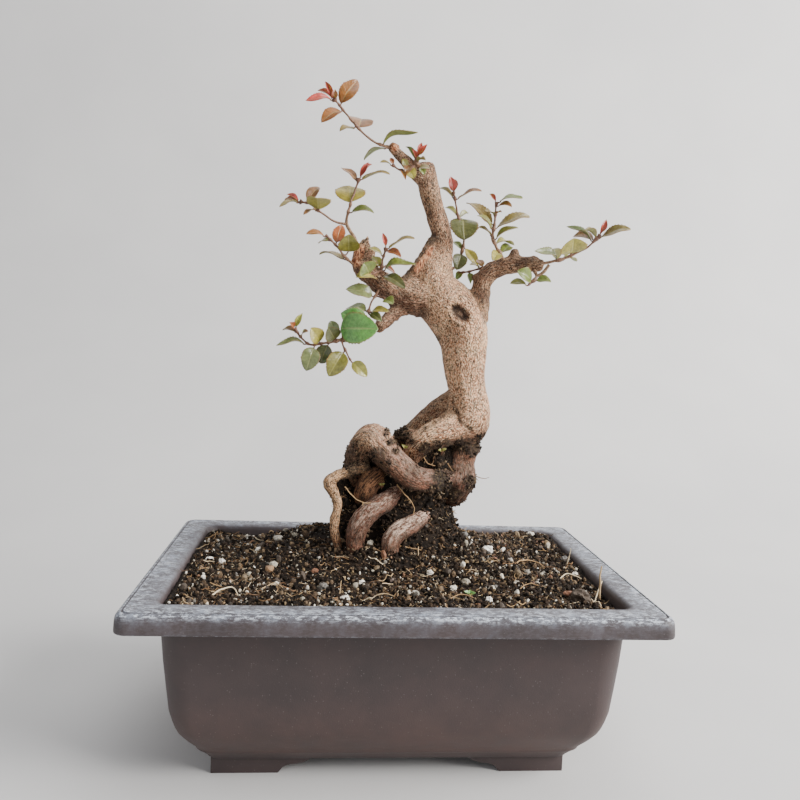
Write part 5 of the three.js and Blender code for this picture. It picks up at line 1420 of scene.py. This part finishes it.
def mark_hollows(mesh, skin, flaky, crust, fold, ring):
    """Painted shade in the hollows of the finished bark, in the knot and in the folds; moss in the shade,
    with painted shade on the roots' undersides kept in the same mark; and where soil clings
    """
    places, normals = mesh_points(mesh), mesh_normals(mesh)
    hollow = np.sum((neighbour_average(mesh, places, 8) - places) * normals, axis=1)
    shade = 0.75 * smoothstep(0.06, 0.42, hollow) + 0.8 * smoothstep(1.02, 0.86, ring) + 0.55 * fold
    crevice = smoothstep(0.15, 0.8, noise_at(places, 5, 12) + 0.6 * shade)
    moss_and_underside_shade = np.maximum(0.35 * on_limbs(skin, "back_coil", "back_right_root", "back_root"), 0.2 * flaky)
    # Painted shade: the roots' downward-facing undersides take the dark crust colour
    moss_and_underside_shade = np.maximum(moss_and_underside_shade, 0.85 * smoothstep(-0.1, -0.75, normals[:, 2]) * (places[:, 2] < ROOT_TOP))
    moss_and_underside_shade = np.maximum(moss_and_underside_shade * (0.7 + 0.3 * crevice), crust)
    mark(mesh, "moss_and_underside_shade", neighbour_average(mesh, moss_and_underside_shade, 1))
    mark(mesh, "shade", neighbour_average(mesh, np.clip(shade, 0, 1), 2))
    patches = smoothstep(-0.3, 0.2, noise_at(places, 4, 33) + 0.6 * shade)
    near_soil = 0.8 * smoothstep(86, 79, places[:, 2]) + smoothstep(0.4, 0.8, moss_and_underside_shade) * patches
    mark(mesh, "cling", np.clip(near_soil, 0, 1) * (places[:, 2] < ROOT_TOP) * (places[:, 2] > 77))


def run_growth():
    """Round runs along lines, each as thick as its points say"""
    tree, start, end = new_growth("thin_runs", [("Sides", "Int", 6), ("Skin", "Material", None)])
    girth = put(tree, "GeometryNodeInputNamedAttribute", {"Name": "girth"}, data_type="FLOAT").outputs[0]
    line = put(tree, "GeometryNodeMeshToCurve", {"Mesh": start.outputs["Geometry"]}).outputs[0]
    round_profile = put(tree, "GeometryNodeCurvePrimitiveCircle", {
        "Resolution": start.outputs["Sides"], "Radius": MM}).outputs[0]
    run = put(tree, "GeometryNodeCurveToMesh", {
        "Curve": line, "Profile Curve": round_profile, "Scale": girth, "Fill Caps": True}).outputs[0]
    whole = put(tree, "GeometryNodeRealizeInstances", {"Geometry": run}).outputs[0]
    whole = put(tree, "GeometryNodeSetMaterial", {
        "Geometry": whole, "Material": start.outputs["Skin"]}).outputs[0]
    tree.links.new(whole, end.inputs["Geometry"])
    return tree


def thin_runs(name, tracks, growth, skin, node):
    """Thin round runs as a finished piece. A track is its points, its thickness along them and its tone."""
    points, edges, girths, tones = [], [], [], []
    for track, girth, tone in tracks:
        first = len(points)
        points.extend(track)
        edges.extend((first + i, first + i + 1) for i in range(len(track) - 1))
        girths.extend(girth)
        tones.extend([tone] * len(track))
    source = mesh_object(name + "_lines", points, [], edges)
    mark(source.data, "girth", girths)
    mark(source.data, "tone", tones)
    settle(grow(source, growth, {"Sides": 6, "Skin": skin}, name), node)


def wandering(track, reach, size):
    """A track whose points stray up to about `reach` from it, in bends about `size` long"""
    return track + reach * np.array([field.noise_vector(Vector(p / size)) for p in track])


def make_rootlets(growth, fibre):
    """Fine pale feeder roots that lie over the thick ones"""
    tracks = []
    for number, line in enumerate(ROOTLETS):
        track = wandering(curve_through([seen(x, z, y) for x, z, y in line], 0.8)[0], 0.25, 2.2)
        tracks.append((track, np.linspace(0.25, 0.12, len(track)), 0.72 - 0.05 * number))
    thin_runs("feeder_rootlets", tracks, growth, fibre, "trunk_and_roots")


# Soil

def mound_height(x, y):
    """How high the soil lies inside the pot"""
    mound = MOUND["height"] * np.exp(
        -((x - MOUND["x"]) / MOUND["half_length"]) ** 4 - ((y - MOUND["y"]) / MOUND["half_width"]) ** 2)
    heaps = sum(
        rise * np.exp(-((x - middle_x) / half_length) ** 2 - ((y - middle_y) / half_width) ** 2)
        for rise, middle_x, middle_y, half_length, half_width in SOIL_HEAPS)
    return SOIL_LEVEL + mound + heaps


def add_clod(points, faces, centre, reach):
    """A rough lump of packed peat, added to a list of points and a list of faces"""
    work = bmesh.new()
    bmesh.ops.create_icosphere(work, subdivisions=4, radius=1)
    first = len(points)
    skin = np.array([vertex.co for vertex in work.verts])
    places = centre + reach * skin
    swell = 1 + 0.22 * noise_at(places, 4, 29) + 0.12 * noise_at(places, 1.8, 30)
    points.extend(centre + reach * skin * swell[:, None])
    faces.extend(tuple(first + vertex.index for vertex in face.verts) for face in work.faces)
    work.free()


def ground_sheet():
    """The soil's rough top and the walls and bottom under it, inside the pot: points, faces and the number of
    points on top"""
    columns, rows = int(2 * BED_HALF_LENGTH / GROUND_STEP), int(2 * BED_HALF_WIDTH / GROUND_STEP)
    grid_x, grid_y = np.meshgrid(
        np.linspace(-BED_HALF_LENGTH, BED_HALF_LENGTH, columns + 1),
        np.linspace(-BED_HALF_WIDTH, BED_HALF_WIDTH, rows + 1))
    x, y = grid_x.ravel(), grid_y.ravel()
    # The corners of the grid are drawn in to the bed's round corners
    core_x = np.clip(x, BED_CORNER - BED_HALF_LENGTH, BED_HALF_LENGTH - BED_CORNER)
    core_y = np.clip(y, BED_CORNER - BED_HALF_WIDTH, BED_HALF_WIDTH - BED_CORNER)
    away = np.hypot(x - core_x, y - core_y)
    square = np.maximum(np.abs(x - core_x), np.abs(y - core_y))
    pull = np.where(away > 0, square / np.maximum(away, 1e-9), 1)
    x, y = core_x + (x - core_x) * pull, core_y + (y - core_y) * pull
    flat = np.stack([x, y, np.zeros_like(x)], axis=1)
    relief = 1.0 * noise_at(flat, 9, 21) + 0.7 * noise_at(flat, 3.6, 22) + 0.35 * noise_at(flat, 1.7, 23)
    points = list(np.stack([x, y, mound_height(x, y) + relief], axis=1))
    along = columns + 1
    faces = [
        (a, a + 1, a + along + 1, a + along)
        for row in range(rows) for a in range(row * along, row * along + columns)
    ]
    border = list(range(columns))
    border += [columns + row * along for row in range(rows)]
    border += [rows * along + i for i in range(columns, 0, -1)]
    border += [row * along for row in range(rows, 0, -1)]
    ring = border
    for height in (68, 50, 30, 18, INSIDE_HEIGHTS[-1]):
        inset = wall_inset(height) + WALL + 0.35 if height > 12 else wall_inset(11) + WALL + FLOOR_FILLET
        shrink_x = (RIM_LENGTH / 2 - inset) / BED_HALF_LENGTH
        shrink_y = (RIM_WIDTH / 2 - inset) / BED_HALF_WIDTH
        below = list(range(len(points), len(points) + len(border)))
        points.extend((points[i][0] * shrink_x, points[i][1] * shrink_y, height) for i in border)
        for i in range(len(ring)):
            j = (i + 1) % len(ring)
            faces.append((ring[j], ring[i], below[i], below[j]))
        ring = below
    faces.append(tuple(reversed(ring)))
    return points, faces, len(x)


def add_root_ball(points, faces):
    """The rough column of soil that the roots hold, and the clods between them"""
    first = len(points)
    around, levels = 88, np.arange(ROOT_SOIL[0][0], ROOT_SOIL[-1][0] + 0.1, 1.2)
    heights, *sizes = zip(*ROOT_SOIL)
    angles = np.linspace(0, 2 * math.pi, around, endpoint=False)
    for level in levels:
        cx, cy, rx, ry = [np.interp(level, heights, size) for size in sizes]
        spot = np.stack([cx + rx * np.cos(angles), cy + ry * np.sin(angles), np.full(around, level)], axis=1)
        swell = 0.8 * noise_at(spot, 7, 24) + 0.7 * noise_at(spot, 3, 25)
        swell += 0.35 * noise_at(spot, 1.5, 26) - 0.5
        spot[:, 0] += swell * np.cos(angles)
        spot[:, 1] += swell * np.sin(angles)
        spot[:, 2] += 0.5 * noise_at(spot, 3.5, 27)
        points.extend(spot)
    walls, bottom, top = tube_faces(len(levels), around, first)
    faces.extend(walls + [bottom, top])
    for x, z, y, reach in CLODS:
        add_clod(points, faces, seen(x, z, y), reach)


def make_bed(peat_material):
    """The ground and the root ball's soil, marked with where grains, stones and fibres lie on them"""
    points, faces, top = ground_sheet()
    first = len(points)
    add_root_ball(points, faces)
    bed = mesh_object("peat_bed", points, faces)
    places = np.array(points)
    height = places[:, 2]
    margin = np.minimum(BED_HALF_LENGTH - np.abs(places[:, 0]), BED_HALF_WIDTH - np.abs(places[:, 1]))
    loose = (margin > 1.6) & (np.arange(len(points)) < top)
    loose[first:] = height[first:] > 76
    stony = np.where(height > 85, 0.15, 1) * loose * np.clip(0.8 + 0.9 * noise_at(places, 15, 36), 0.2, 1.25)
    stony[first:] *= 0.3
    near_root = np.exp(-np.hypot(places[:, 0] - 14, places[:, 1] + 26) / 14)
    fibrous = np.where(height > 84, 0.3, 0.5 + 0.8 * noise_at(places, 14, 34) + 0.6 * near_root)
    for name, values in (
        ("loose", loose.astype(float)), ("stony", stony), ("fibrous", fibrous.clip(0) * loose),
        ("tone", np.clip(0.25 + 0.5 * noise_at(places, 6, 28), 0, 1)),
    ):
        mark(bed.data, name, values)
    bed.data.materials.append(peat_material)
    return bed


def grain_shapes(count, roughness, divisions, seed, flatness):
    """A few crumbs, chips or stones with a radius of about 1 mm, to be repeated"""
    shapes = bpy.data.collections.new("grain_shapes")
    rng = random.Random(seed)
    for number in range(count):
        work = bmesh.new()
        bmesh.ops.create_icosphere(work, subdivisions=divisions, radius=MM)
        stretch = Vector((1, rng.uniform(0.6, 0.95), rng.uniform(*flatness)))
        shift = Vector((rng.uniform(0, 50), 0, 0))
        for vertex in work.verts:
            bump = 1 + roughness * field.noise(vertex.co / MM * 1.3 + shift)
            vertex.co = Vector(a * b for a, b in zip(vertex.co, stretch)) * bump
        name = "grain_%d" % number
        shapes.objects.link(bpy.data.objects.new(name, finished_mesh(work, name)))
    return shapes


def fibre_shapes(count, seed, spots):
    """A few bent fibres 10 mm long, to be repeated"""
    shapes = bpy.data.collections.new("fibre_shapes")
    rng = random.Random(seed)
    for number in range(count):
        shift = rng.uniform(0, 90)
        points = []
        for i in range(spots):
            sway = Vector((shift + i * 4.2 / spots, 0, 0))
            lift = Vector((0, shift + i * 4.2 / spots, 0))
            middle = (10 * i / (spots - 1) - 5, 2.4 * field.noise(sway), 1.8 * field.noise(lift))
            thick = 0.3 * (1 - 0.5 * i / spots)
            for angle in (0, math.radians(120), math.radians(240)):
                across, up = thick * math.cos(angle), thick * math.sin(angle)
                points.append((middle[0], middle[1] + across, middle[2] + up))
        walls, bottom, top = tube_faces(spots, 3)
        fibre = mesh_object("fibre_%d" % number, points, walls + [bottom, top])
        bpy.context.scene.collection.objects.unlink(fibre)
        shapes.objects.link(fibre)
    return shapes


def drop_shapes(shapes):
    for shape in list(shapes.objects):
        bpy.data.objects.remove(shape)
    bpy.data.collections.remove(shapes)


def scatter_growth():
    """Grains strewn over a surface, most of them small, each turned and shaded at random"""
    tree, start, end = new_growth("strewn_grains", [
        ("Shapes", "Collection", None), ("Per Square Metre", "Float", 100000.0), ("Smallest", "Float", 0.5),
        ("Largest", "Float", 1.5), ("Lift", "Float", 0.0), ("Tilt", "Float", 3.2),
        ("Where", "String", "loose"), ("Seed", "Int", 1), ("Skin", "Material", None),
    ])
    given = start.outputs
    seed, tilt = given["Seed"], given["Tilt"]
    where = put(tree, "GeometryNodeInputNamedAttribute", {
        "Name": given["Where"]}, data_type="FLOAT").outputs[0]
    density = put(tree, "ShaderNodeMath", {
        0: given["Per Square Metre"], 1: where}, operation="MULTIPLY").outputs[0]
    strewn = put(tree, "GeometryNodeDistributePointsOnFaces", {
        "Mesh": given["Geometry"], "Density": density, "Seed": seed})
    chance = put(tree, "FunctionNodeRandomValue", {
        "Seed": seed, 2: 0.0, 3: 1.0}, data_type="FLOAT").outputs[1]
    # Raised to a power, so that most grains are small
    small = put(tree, "ShaderNodeMath", {0: chance, 1: 2.6}, operation="POWER").outputs[0]
    size = put(tree, "ShaderNodeMapRange", {
        "Value": small, "To Min": given["Smallest"], "To Max": given["Largest"]}).outputs[0]
    lift = put(tree, "ShaderNodeMath", {0: size, 1: given["Lift"]}, operation="MULTIPLY").outputs[0]
    lift = put(tree, "ShaderNodeMath", {0: lift, 1: MM}, operation="MULTIPLY").outputs[0]
    offset = put(tree, "ShaderNodeVectorMath", {
        0: strewn.outputs["Normal"], "Scale": lift}, operation="SCALE").outputs[0]
    spots = put(tree, "GeometryNodeSetPosition", {
        "Geometry": strewn.outputs["Points"], "Offset": offset}).outputs[0]
    untilt = put(tree, "ShaderNodeMath", {0: tilt, 1: -1.0}, operation="MULTIPLY").outputs[0]
    low_turn = put(tree, "ShaderNodeCombineXYZ", {"X": untilt, "Y": untilt, "Z": 0.0}).outputs[0]
    high_turn = put(tree, "ShaderNodeCombineXYZ", {"X": tilt, "Y": tilt, "Z": 6.28}).outputs[0]
    turn = put(tree, "FunctionNodeRandomValue", {
        0: low_turn, 1: high_turn, "Seed": seed}, data_type="FLOAT_VECTOR").outputs[0]
    shapes = put(tree, "GeometryNodeCollectionInfo", {
        "Collection": given["Shapes"], "Separate Children": True, "Reset Children": True}).outputs[0]
    pick = put(tree, "FunctionNodeRandomValue", {4: 0, 5: 11, "Seed": seed}, data_type="INT").outputs[2]
    grains = put(tree, "GeometryNodeInstanceOnPoints", {
        "Points": spots, "Instance": shapes, "Pick Instance": True, "Instance Index": pick, "Rotation": turn,
        "Scale": size}).outputs[0]
    other_seed = put(tree, "ShaderNodeMath", {0: seed, 1: 7.0}, operation="ADD").outputs[0]
    shade = put(tree, "FunctionNodeRandomValue", {
        "Seed": other_seed, 2: 0.0, 3: 1.0}, data_type="FLOAT").outputs[1]
    grains = put(tree, "GeometryNodeStoreNamedAttribute", {
        "Geometry": grains, "Name": "tone", "Value": shade}, data_type="FLOAT", domain="INSTANCE").outputs[0]
    whole = put(tree, "GeometryNodeRealizeInstances", {"Geometry": grains}).outputs[0]
    whole = put(tree, "GeometryNodeSetMaterial", {"Geometry": whole, "Material": given["Skin"]}).outputs[0]
    tree.links.new(whole, end.inputs["Geometry"])
    return tree


def place_stones(skin):
    """The larger stones that lie on the soil"""
    work = bmesh.new()
    tones = []
    for number, (x, y, half, tone) in enumerate(STONES):
        added = bmesh.ops.create_icosphere(work, subdivisions=3, radius=1)["verts"]
        tones.extend([tone] * len(added))
        turn = Matrix.Rotation(number * 1.7, 3, "Z")
        centre = Vector((x, y, mound_height(x, y) + 0.35 * half))
        for vertex in added:
            swell = 1 + 0.55 * field.noise(vertex.co * 1.5 + Vector((number * 9, 0, 0)))
            swell += 0.2 * field.noise(vertex.co * 4 + Vector((0, number * 9, 0)))
            flat = Vector((vertex.co.x, vertex.co.y * 0.75, vertex.co.z * 0.62))
            vertex.co = (centre + turn @ flat * swell * half) * MM
    stones = add_object("larger_stones", finished_mesh(work, "larger_stones"))
    mark(stones.data, "tone", tones)
    stones.data.materials.append(skin)
    settle(stones, "soil", smooth=False)


def lay_strands(growth, skin):
    """Long dry strands and stalks that lie on the soil or stand up out of it"""
    tracks = []
    for number, (thick, *spots) in enumerate(STRANDS):
        line = [(x, y, mound_height(x, y) + rise) for x, y, rise in spots]
        track = wandering(curve_through(line, 1)[0], 0.3, 2.5)
        tracks.append((track, np.linspace(thick, 0.6 * thick, len(track)), 0.55 + 0.4 * (number % 3) / 2))
    thin_runs("dry_strands", tracks, growth, skin, "soil")


def strew(surface, growth, name, settings):
    """Grains over a copy of a surface, as a finished piece of the soil"""
    source = add_object("strewn_surface", surface.data.copy())
    settle(grow(source, growth, settings, name), "soil", smooth=False)


def make_soil(tree, finishes):
    """Peat bed with crumbs, grit and fibres strewn over it, and crumbs that cling to the roots"""
    growth = scatter_growth()
    bed = make_bed(finishes["peat"])
    shapes = {
        "crumbs": grain_shapes(6, 0.5, 1, 3, (0.5, 0.95)), "chips": grain_shapes(6, 0.6, 1, 6, (0.3, 0.7)),
        "stones": grain_shapes(6, 0.4, 2, 4, (0.5, 0.95)), "fibres": fibre_shapes(6, 5, 6),
        "straws": fibre_shapes(6, 8, 4),
    }
    for name, shape, finish, where, density, smallest, largest, lift, tilt, seed in STREWN:
        strew(tree if where == "cling" else bed, growth, name, {
            "Shapes": shapes[shape], "Per Square Metre": density, "Smallest": smallest, "Largest": largest,
            "Lift": lift, "Tilt": tilt, "Where": where, "Seed": seed, "Skin": finishes[finish]})
    for collection in shapes.values():
        drop_shapes(collection)
    settle(bed, "soil")


# Leafy shoots

def leaf_shape(name, outline, rows, teeth, bite, fold, droop, twist, wave):
    """A blade 1 long and 1 wide with saw teeth, folded along its midrib, with an upper and a lower face"""
    count = len(BLADE_ACROSS)
    layer = (rows + 1) * count
    shares = np.linspace(0, 1, rows + 1)
    widths = np.interp(shares, *zip(*outline))
    points, where = [], []
    for under, (share, width), side in itertools.product((0, 1), zip(shares, widths), BLADE_ACROSS):
        at_edge = abs(side) > 0.95
        tooth = bite * ((share * teeth) % 1 - 0.5) * min(1, 4 * share, 4 * (1 - share)) if teeth else 0
        reach = 0.5 * (width + tooth * at_edge) * side
        lean = twist * (share - 0.5)
        height = fold * abs(reach) * (1 - 0.35 * abs(side)) + BLADE_ARCH * 4 * share * (1 - share)
        height += droop * math.sin(2 * math.pi * share) * 0.5
        height += wave * math.sin(9 * share + 2 * side) * abs(side)
        height -= under * BLADE_THICKNESS * (1 - 0.5 * at_edge)
        spot = (reach * math.cos(lean), share, height + reach * math.sin(lean))
        points.append([1000 * value for value in spot])
        where.append((side, share, under))
    faces = []
    for row in range(rows):
        for a in range(row * count, row * count + count - 1):
            faces.append((a, a + 1, a + count + 1, a + count))
            faces.append((layer + a + count, layer + a + count + 1, layer + a + 1, layer + a))
        left, right = row * count, row * count + count - 1
        faces.append((left, left + count, layer + left + count, layer + left))
        faces.append((right + count, right, layer + right, layer + right + count))
    for row in (0, rows):
        for a in range(row * count, row * count + count - 1):
            end = (a + 1, a, layer + a, layer + a + 1)
            faces.append(end if row == 0 else end[::-1])
    blade = mesh_object(name, points, faces)
    mark(blade.data, "leaf_place", where)
    bpy.context.scene.collection.objects.unlink(blade)
    return blade


def leaf_shapes():
    """Three broad leaves, three narrow ones and two that are still folded"""
    shapes = bpy.data.collections.new("leaf_shapes")
    for number, blade in enumerate(BLADES):
        shapes.objects.link(leaf_shape("leaf_%d" % number, *blade))
    return shapes


def shoot_growth():
    """Twigs and stalks along a shoot's lines, and a leaf at each of its loose points"""
    tree, start, end = new_growth("leafy_shoot", [
        ("Leaves", "Collection", None), ("Twig Sides", "Int", 8), ("Twig Bark", "Material", None),
        ("Leaf Skin", "Material", None),
    ])
    given = start.outputs
    is_leaf, girth, kind, turn, stretch = [
        put(tree, "GeometryNodeInputNamedAttribute", {"Name": name}, data_type=data_type).outputs[0]
        for name, data_type in (
            ("is_leaf", "FLOAT"), ("girth", "FLOAT"), ("kind", "FLOAT"), ("turn", "FLOAT_VECTOR"),
            ("stretch", "FLOAT_VECTOR"))
    ]
    leafy = put(tree, "ShaderNodeMath", {0: is_leaf, 1: 0.5}, operation="GREATER_THAN").outputs[0]
    parts = put(tree, "GeometryNodeSeparateGeometry", {
        "Geometry": given["Geometry"], "Selection": leafy}, domain="POINT")
    spots = put(tree, "GeometryNodeMeshToPoints", {"Mesh": parts.outputs["Selection"]}).outputs[0]
    blades = put(tree, "GeometryNodeCollectionInfo", {
        "Collection": given["Leaves"], "Separate Children": True, "Reset Children": True}).outputs[0]
    leaves = put(tree, "GeometryNodeInstanceOnPoints", {
        "Points": spots, "Instance": blades, "Pick Instance": True, "Instance Index": kind, "Rotation": turn,
        "Scale": stretch}).outputs[0]
    line = put(tree, "GeometryNodeMeshToCurve", {"Mesh": parts.outputs["Inverted"]}).outputs[0]
    profile = put(tree, "GeometryNodeCurvePrimitiveCircle", {
        "Resolution": given["Twig Sides"], "Radius": MM}).outputs[0]
    twigs = put(tree, "GeometryNodeCurveToMesh", {
        "Curve": line, "Profile Curve": profile, "Scale": girth, "Fill Caps": True}).outputs[0]
    whole = put(tree, "GeometryNodeJoinGeometry")
    tree.links.new(twigs, whole.inputs[0])
    tree.links.new(leaves, whole.inputs[0])
    whole = put(tree, "GeometryNodeRealizeInstances", {"Geometry": whole.outputs[0]}).outputs[0]
    whole = put(tree, "GeometryNodeSetMaterial", {
        "Geometry": whole, "Material": given["Twig Bark"]}).outputs[0]
    whole = put(tree, "GeometryNodeSetMaterial", {
        "Geometry": whole, "Selection": leafy, "Material": given["Leaf Skin"]}).outputs[0]
    tree.links.new(whole, end.inputs["Geometry"])
    return tree


def leaf_frame(base, tip, facing):
    """The turn that lays a blade's length from base to tip with its upper face looking the given way"""
    along = (tip - base) / np.linalg.norm(tip - base)
    angle = math.radians(facing)
    up = np.array([0, -math.cos(angle), math.sin(angle)])
    up = up - along * np.dot(up, along)
    up /= np.linalg.norm(up)
    across = np.cross(along, up)
    return along, Matrix(np.stack([across, along, up], axis=1).tolist()).to_euler()


def read_leaves(leaves, stems, rng):
    """Where each leaf's stalk leaves its twig and where its blade starts, how the blade is turned, sized and
    shaped, and its colour"""
    everywhere = np.vstack([track for track, _ in stems])
    read = []
    for x, z, y, tip_x, tip_z, tip_y, width, facing, colour in leaves:
        base, tip = seen(x, z, y), seen(tip_x, tip_z, tip_y)
        root = everywhere[np.argmin(np.linalg.norm(everywhere - base, axis=1))]
        stalked = np.linalg.norm(base - root) > STALK_LEAST
        along, euler = leaf_frame(base if stalked else root, tip, facing)
        if not stalked:
            base = root + along * min(1.5, 0.13 * np.linalg.norm(tip - root))
        length = np.linalg.norm(tip - base)
        young = width < 3.3
        kinds = (6, 7) if young else (0, 1, 2) if width / length > 0.5 else (3, 4, 5)
        read.append(SimpleNamespace(
            root=root, base=base, along=along, turn=tuple(euler), length=length, width=width,
            kind=rng.choice(kinds), colour=colour, young=young))
    return read


def leaf_tint(colour, rng):
    shade = rng.uniform(0.86, 1.14)
    warm = rng.uniform(-0.05, 0.05)
    red, green, blue, _ = linear(LEAF_COLOURS[colour])
    return red * shade * (1 + warm), green * shade, blue * shade * (1 - warm)


def make_shoot(name, shoot, growth, shapes, finishes, node):
    """A shoot's twigs, stalks and leaves, from its readings"""
    rng = random.Random(name)
    stems = []
    for stem in shoot["stems"]:
        track, parameters = curve_through([seen(x, z, y) for x, z, y, _ in stem], 0.5)
        stems.append((track, np.interp(parameters, range(len(stem)), [reading[3] for reading in stem])))
    leaves = read_leaves(shoot["leaves"], stems, rng)
    # Each run: its points, their thickness and their age. A twig swells where a leaf leaves it.
    runs = []
    for track, radii in stems:
        wobble = np.array([field.noise_vector(Vector(p / 3.1)) for p in track])
        swell = sum(0.3 * np.exp(-(np.linalg.norm(track - leaf.root, axis=1) / 0.8) ** 2) for leaf in leaves)
        girth = radii * (0.68 + 0.1 * wobble[:, 0]) + swell
        runs.append((track + 0.22 * wobble, girth, np.clip(radii - 0.55, 0, 0.6) / 0.6))
    for leaf in leaves:
        reach = np.linspace(0, 1, 6)[:, None]
        sag = np.array([0, 0, -0.35]) * (4 * reach * (1 - reach))
        end = leaf.base + 0.5 * leaf.along * min(1, 0.1 * leaf.length)
        stalk = leaf.root + (end - leaf.root) * reach + sag
        runs.append((stalk, np.linspace(0.36, 0.27, 6) * (0.8 if leaf.young else 1), np.zeros(6)))
    edges, first = [], 0
    for track, _, _ in runs:
        edges.extend((first + i, first + i + 1) for i in range(len(track) - 1))
        first += len(track)
    none, blank = [0] * len(leaves), [(0, 0, 0)] * first
    source = mesh_object(
        name + "_lines", np.vstack([run[0] for run in runs] + [leaf.base for leaf in leaves]), [], edges)
    for label, values in (
        ("girth", [*np.concatenate([run[1] for run in runs]), *none]),
        ("age", [*np.concatenate([run[2] for run in runs]), *none]),
        ("kind", [-1] * first + [leaf.kind for leaf in leaves]),
        ("turn", blank + [leaf.turn for leaf in leaves]),
        ("stretch", blank + [(leaf.width * MM, leaf.length * MM, leaf.length * MM) for leaf in leaves]),
        ("tint", blank + [leaf_tint(leaf.colour, rng) for leaf in leaves]),
        ("is_leaf", [0] * first + [1] * len(leaves)),
    ):
        mark(source.data, label, values)
    piece = grow(source, growth, {
        "Leaves": shapes, "Twig Sides": 8, "Twig Bark": finishes["twig"], "Leaf Skin": finishes["leaf"],
    }, name + "_leaves")
    settle(piece, node)


# Floor, light and camera

def make_stage(paper):
    """A pale paper sweep under and behind the pot"""
    front, back, height, bend = -1.6, 0.75, 2.2, 0.5
    outline = [(front, 0)]
    for i in range(13):
        angle = math.radians(90 * i / 12)
        outline.append((back - bend + bend * math.sin(angle), bend - bend * math.cos(angle)))
    outline.append((back, height))
    points = []
    for y, z in outline:
        points.extend([(-2200, y * 1000, z * 1000), (2200, y * 1000, z * 1000)])
    faces = [(2 * i, 2 * i + 1, 2 * i + 3, 2 * i + 2) for i in range(len(outline) - 1)]
    sweep = mesh_object("paper_sweep", points, faces)
    sweep.data.materials.append(paper)
    sweep.data.polygons.foreach_set("use_smooth", [True] * len(faces))


def add_light(name, place, aim, size, power, colour):
    lamp = bpy.data.lights.new(name, "AREA")
    lamp.shape = "RECTANGLE"
    lamp.size, lamp.size_y = size
    lamp.energy = power
    lamp.color = colour
    stand = add_object(name, lamp)
    stand.location = place
    stand.rotation_euler = (Vector(aim) - Vector(place)).to_track_quat("-Z", "Y").to_euler()


def light_the_studio():
    middle = (0, 0, 0.13)
    add_light("window", (1.25, -0.55, 0.8), middle, (0.9, 0.9), 57, (1.0, 0.98, 0.95))
    add_light("fill", (-0.9, -1.0, 0.45), middle, (1.3, 1.3), 5.5, (0.97, 0.98, 1.0))
    add_light("top", (0.15, 0.1, 1.25), middle, (1.2, 0.9), 8, (1.0, 1.0, 1.0))
    add_light("paper_glow", (1.25, 0.1, 0.55), (0.7, 0.75, 0.35), (0.5, 0.5), 5.5, (1.0, 0.99, 0.98))
    world = bpy.data.worlds.new("studio_air")
    world.use_nodes = True
    world.node_tree.nodes["Background"].inputs["Color"].default_value = linear("#e4e6ea")
    world.node_tree.nodes["Background"].inputs["Strength"].default_value = 0.41
    bpy.context.scene.world = world


def place_camera():
    """The photograph's angle: the viewpoint, with yaw, pitch and roll in degrees, on a 36 mm wide sensor"""
    yaw, pitch, roll = [math.radians(a) for a in (-5.165, -4.446, 2.402)]
    forward = Vector((-math.sin(yaw) * math.cos(pitch), math.cos(yaw) * math.cos(pitch), math.sin(pitch)))
    level = Vector((math.cos(yaw), math.sin(yaw), 0))
    upright = level.cross(forward)
    right = level * math.cos(roll) + upright * math.sin(roll)
    up = upright * math.cos(roll) - level * math.sin(roll)
    lens = bpy.data.cameras.new("camera")
    lens.sensor_width = 36
    lens.sensor_fit = "HORIZONTAL"
    lens.lens = 35.83
    lens.clip_start = 0.01
    camera = add_object("camera", lens)
    turn = Matrix((right, up, -forward)).transposed().to_4x4()
    camera.matrix_world = Matrix.Translation(Vector(VIEWPOINT.tolist()) * MM) @ turn
    bpy.context.scene.camera = camera


def main():
    field.seed_set(WOBBLE_SEED)
    place_camera()
    finishes = {
        "plastic": pot_plastic(), "bark": bark(), "twig": twig_bark(), "leaf": leaf_skin(), "peat": peat(),
        "grit": grit(), "fibre": dry_fibre(),
    }
    make_pot(finishes["plastic"])
    tree = make_tree(finishes["bark"])
    runs = run_growth()
    make_rootlets(runs, finishes["fibre"])
    make_soil(tree, finishes)
    place_stones(finishes["grit"])
    lay_strands(runs, finishes["fibre"])
    leaves = leaf_shapes()
    growth = shoot_growth()
    for name, shoot in SHOOTS.items():
        make_shoot(name, shoot, growth, leaves, finishes, name)
    make_shoot("seedlings", SEEDLINGS, growth, leaves, finishes, "soil")
    drop_shapes(leaves)
    make_stage(studio_paper())
    light_the_studio()


main()
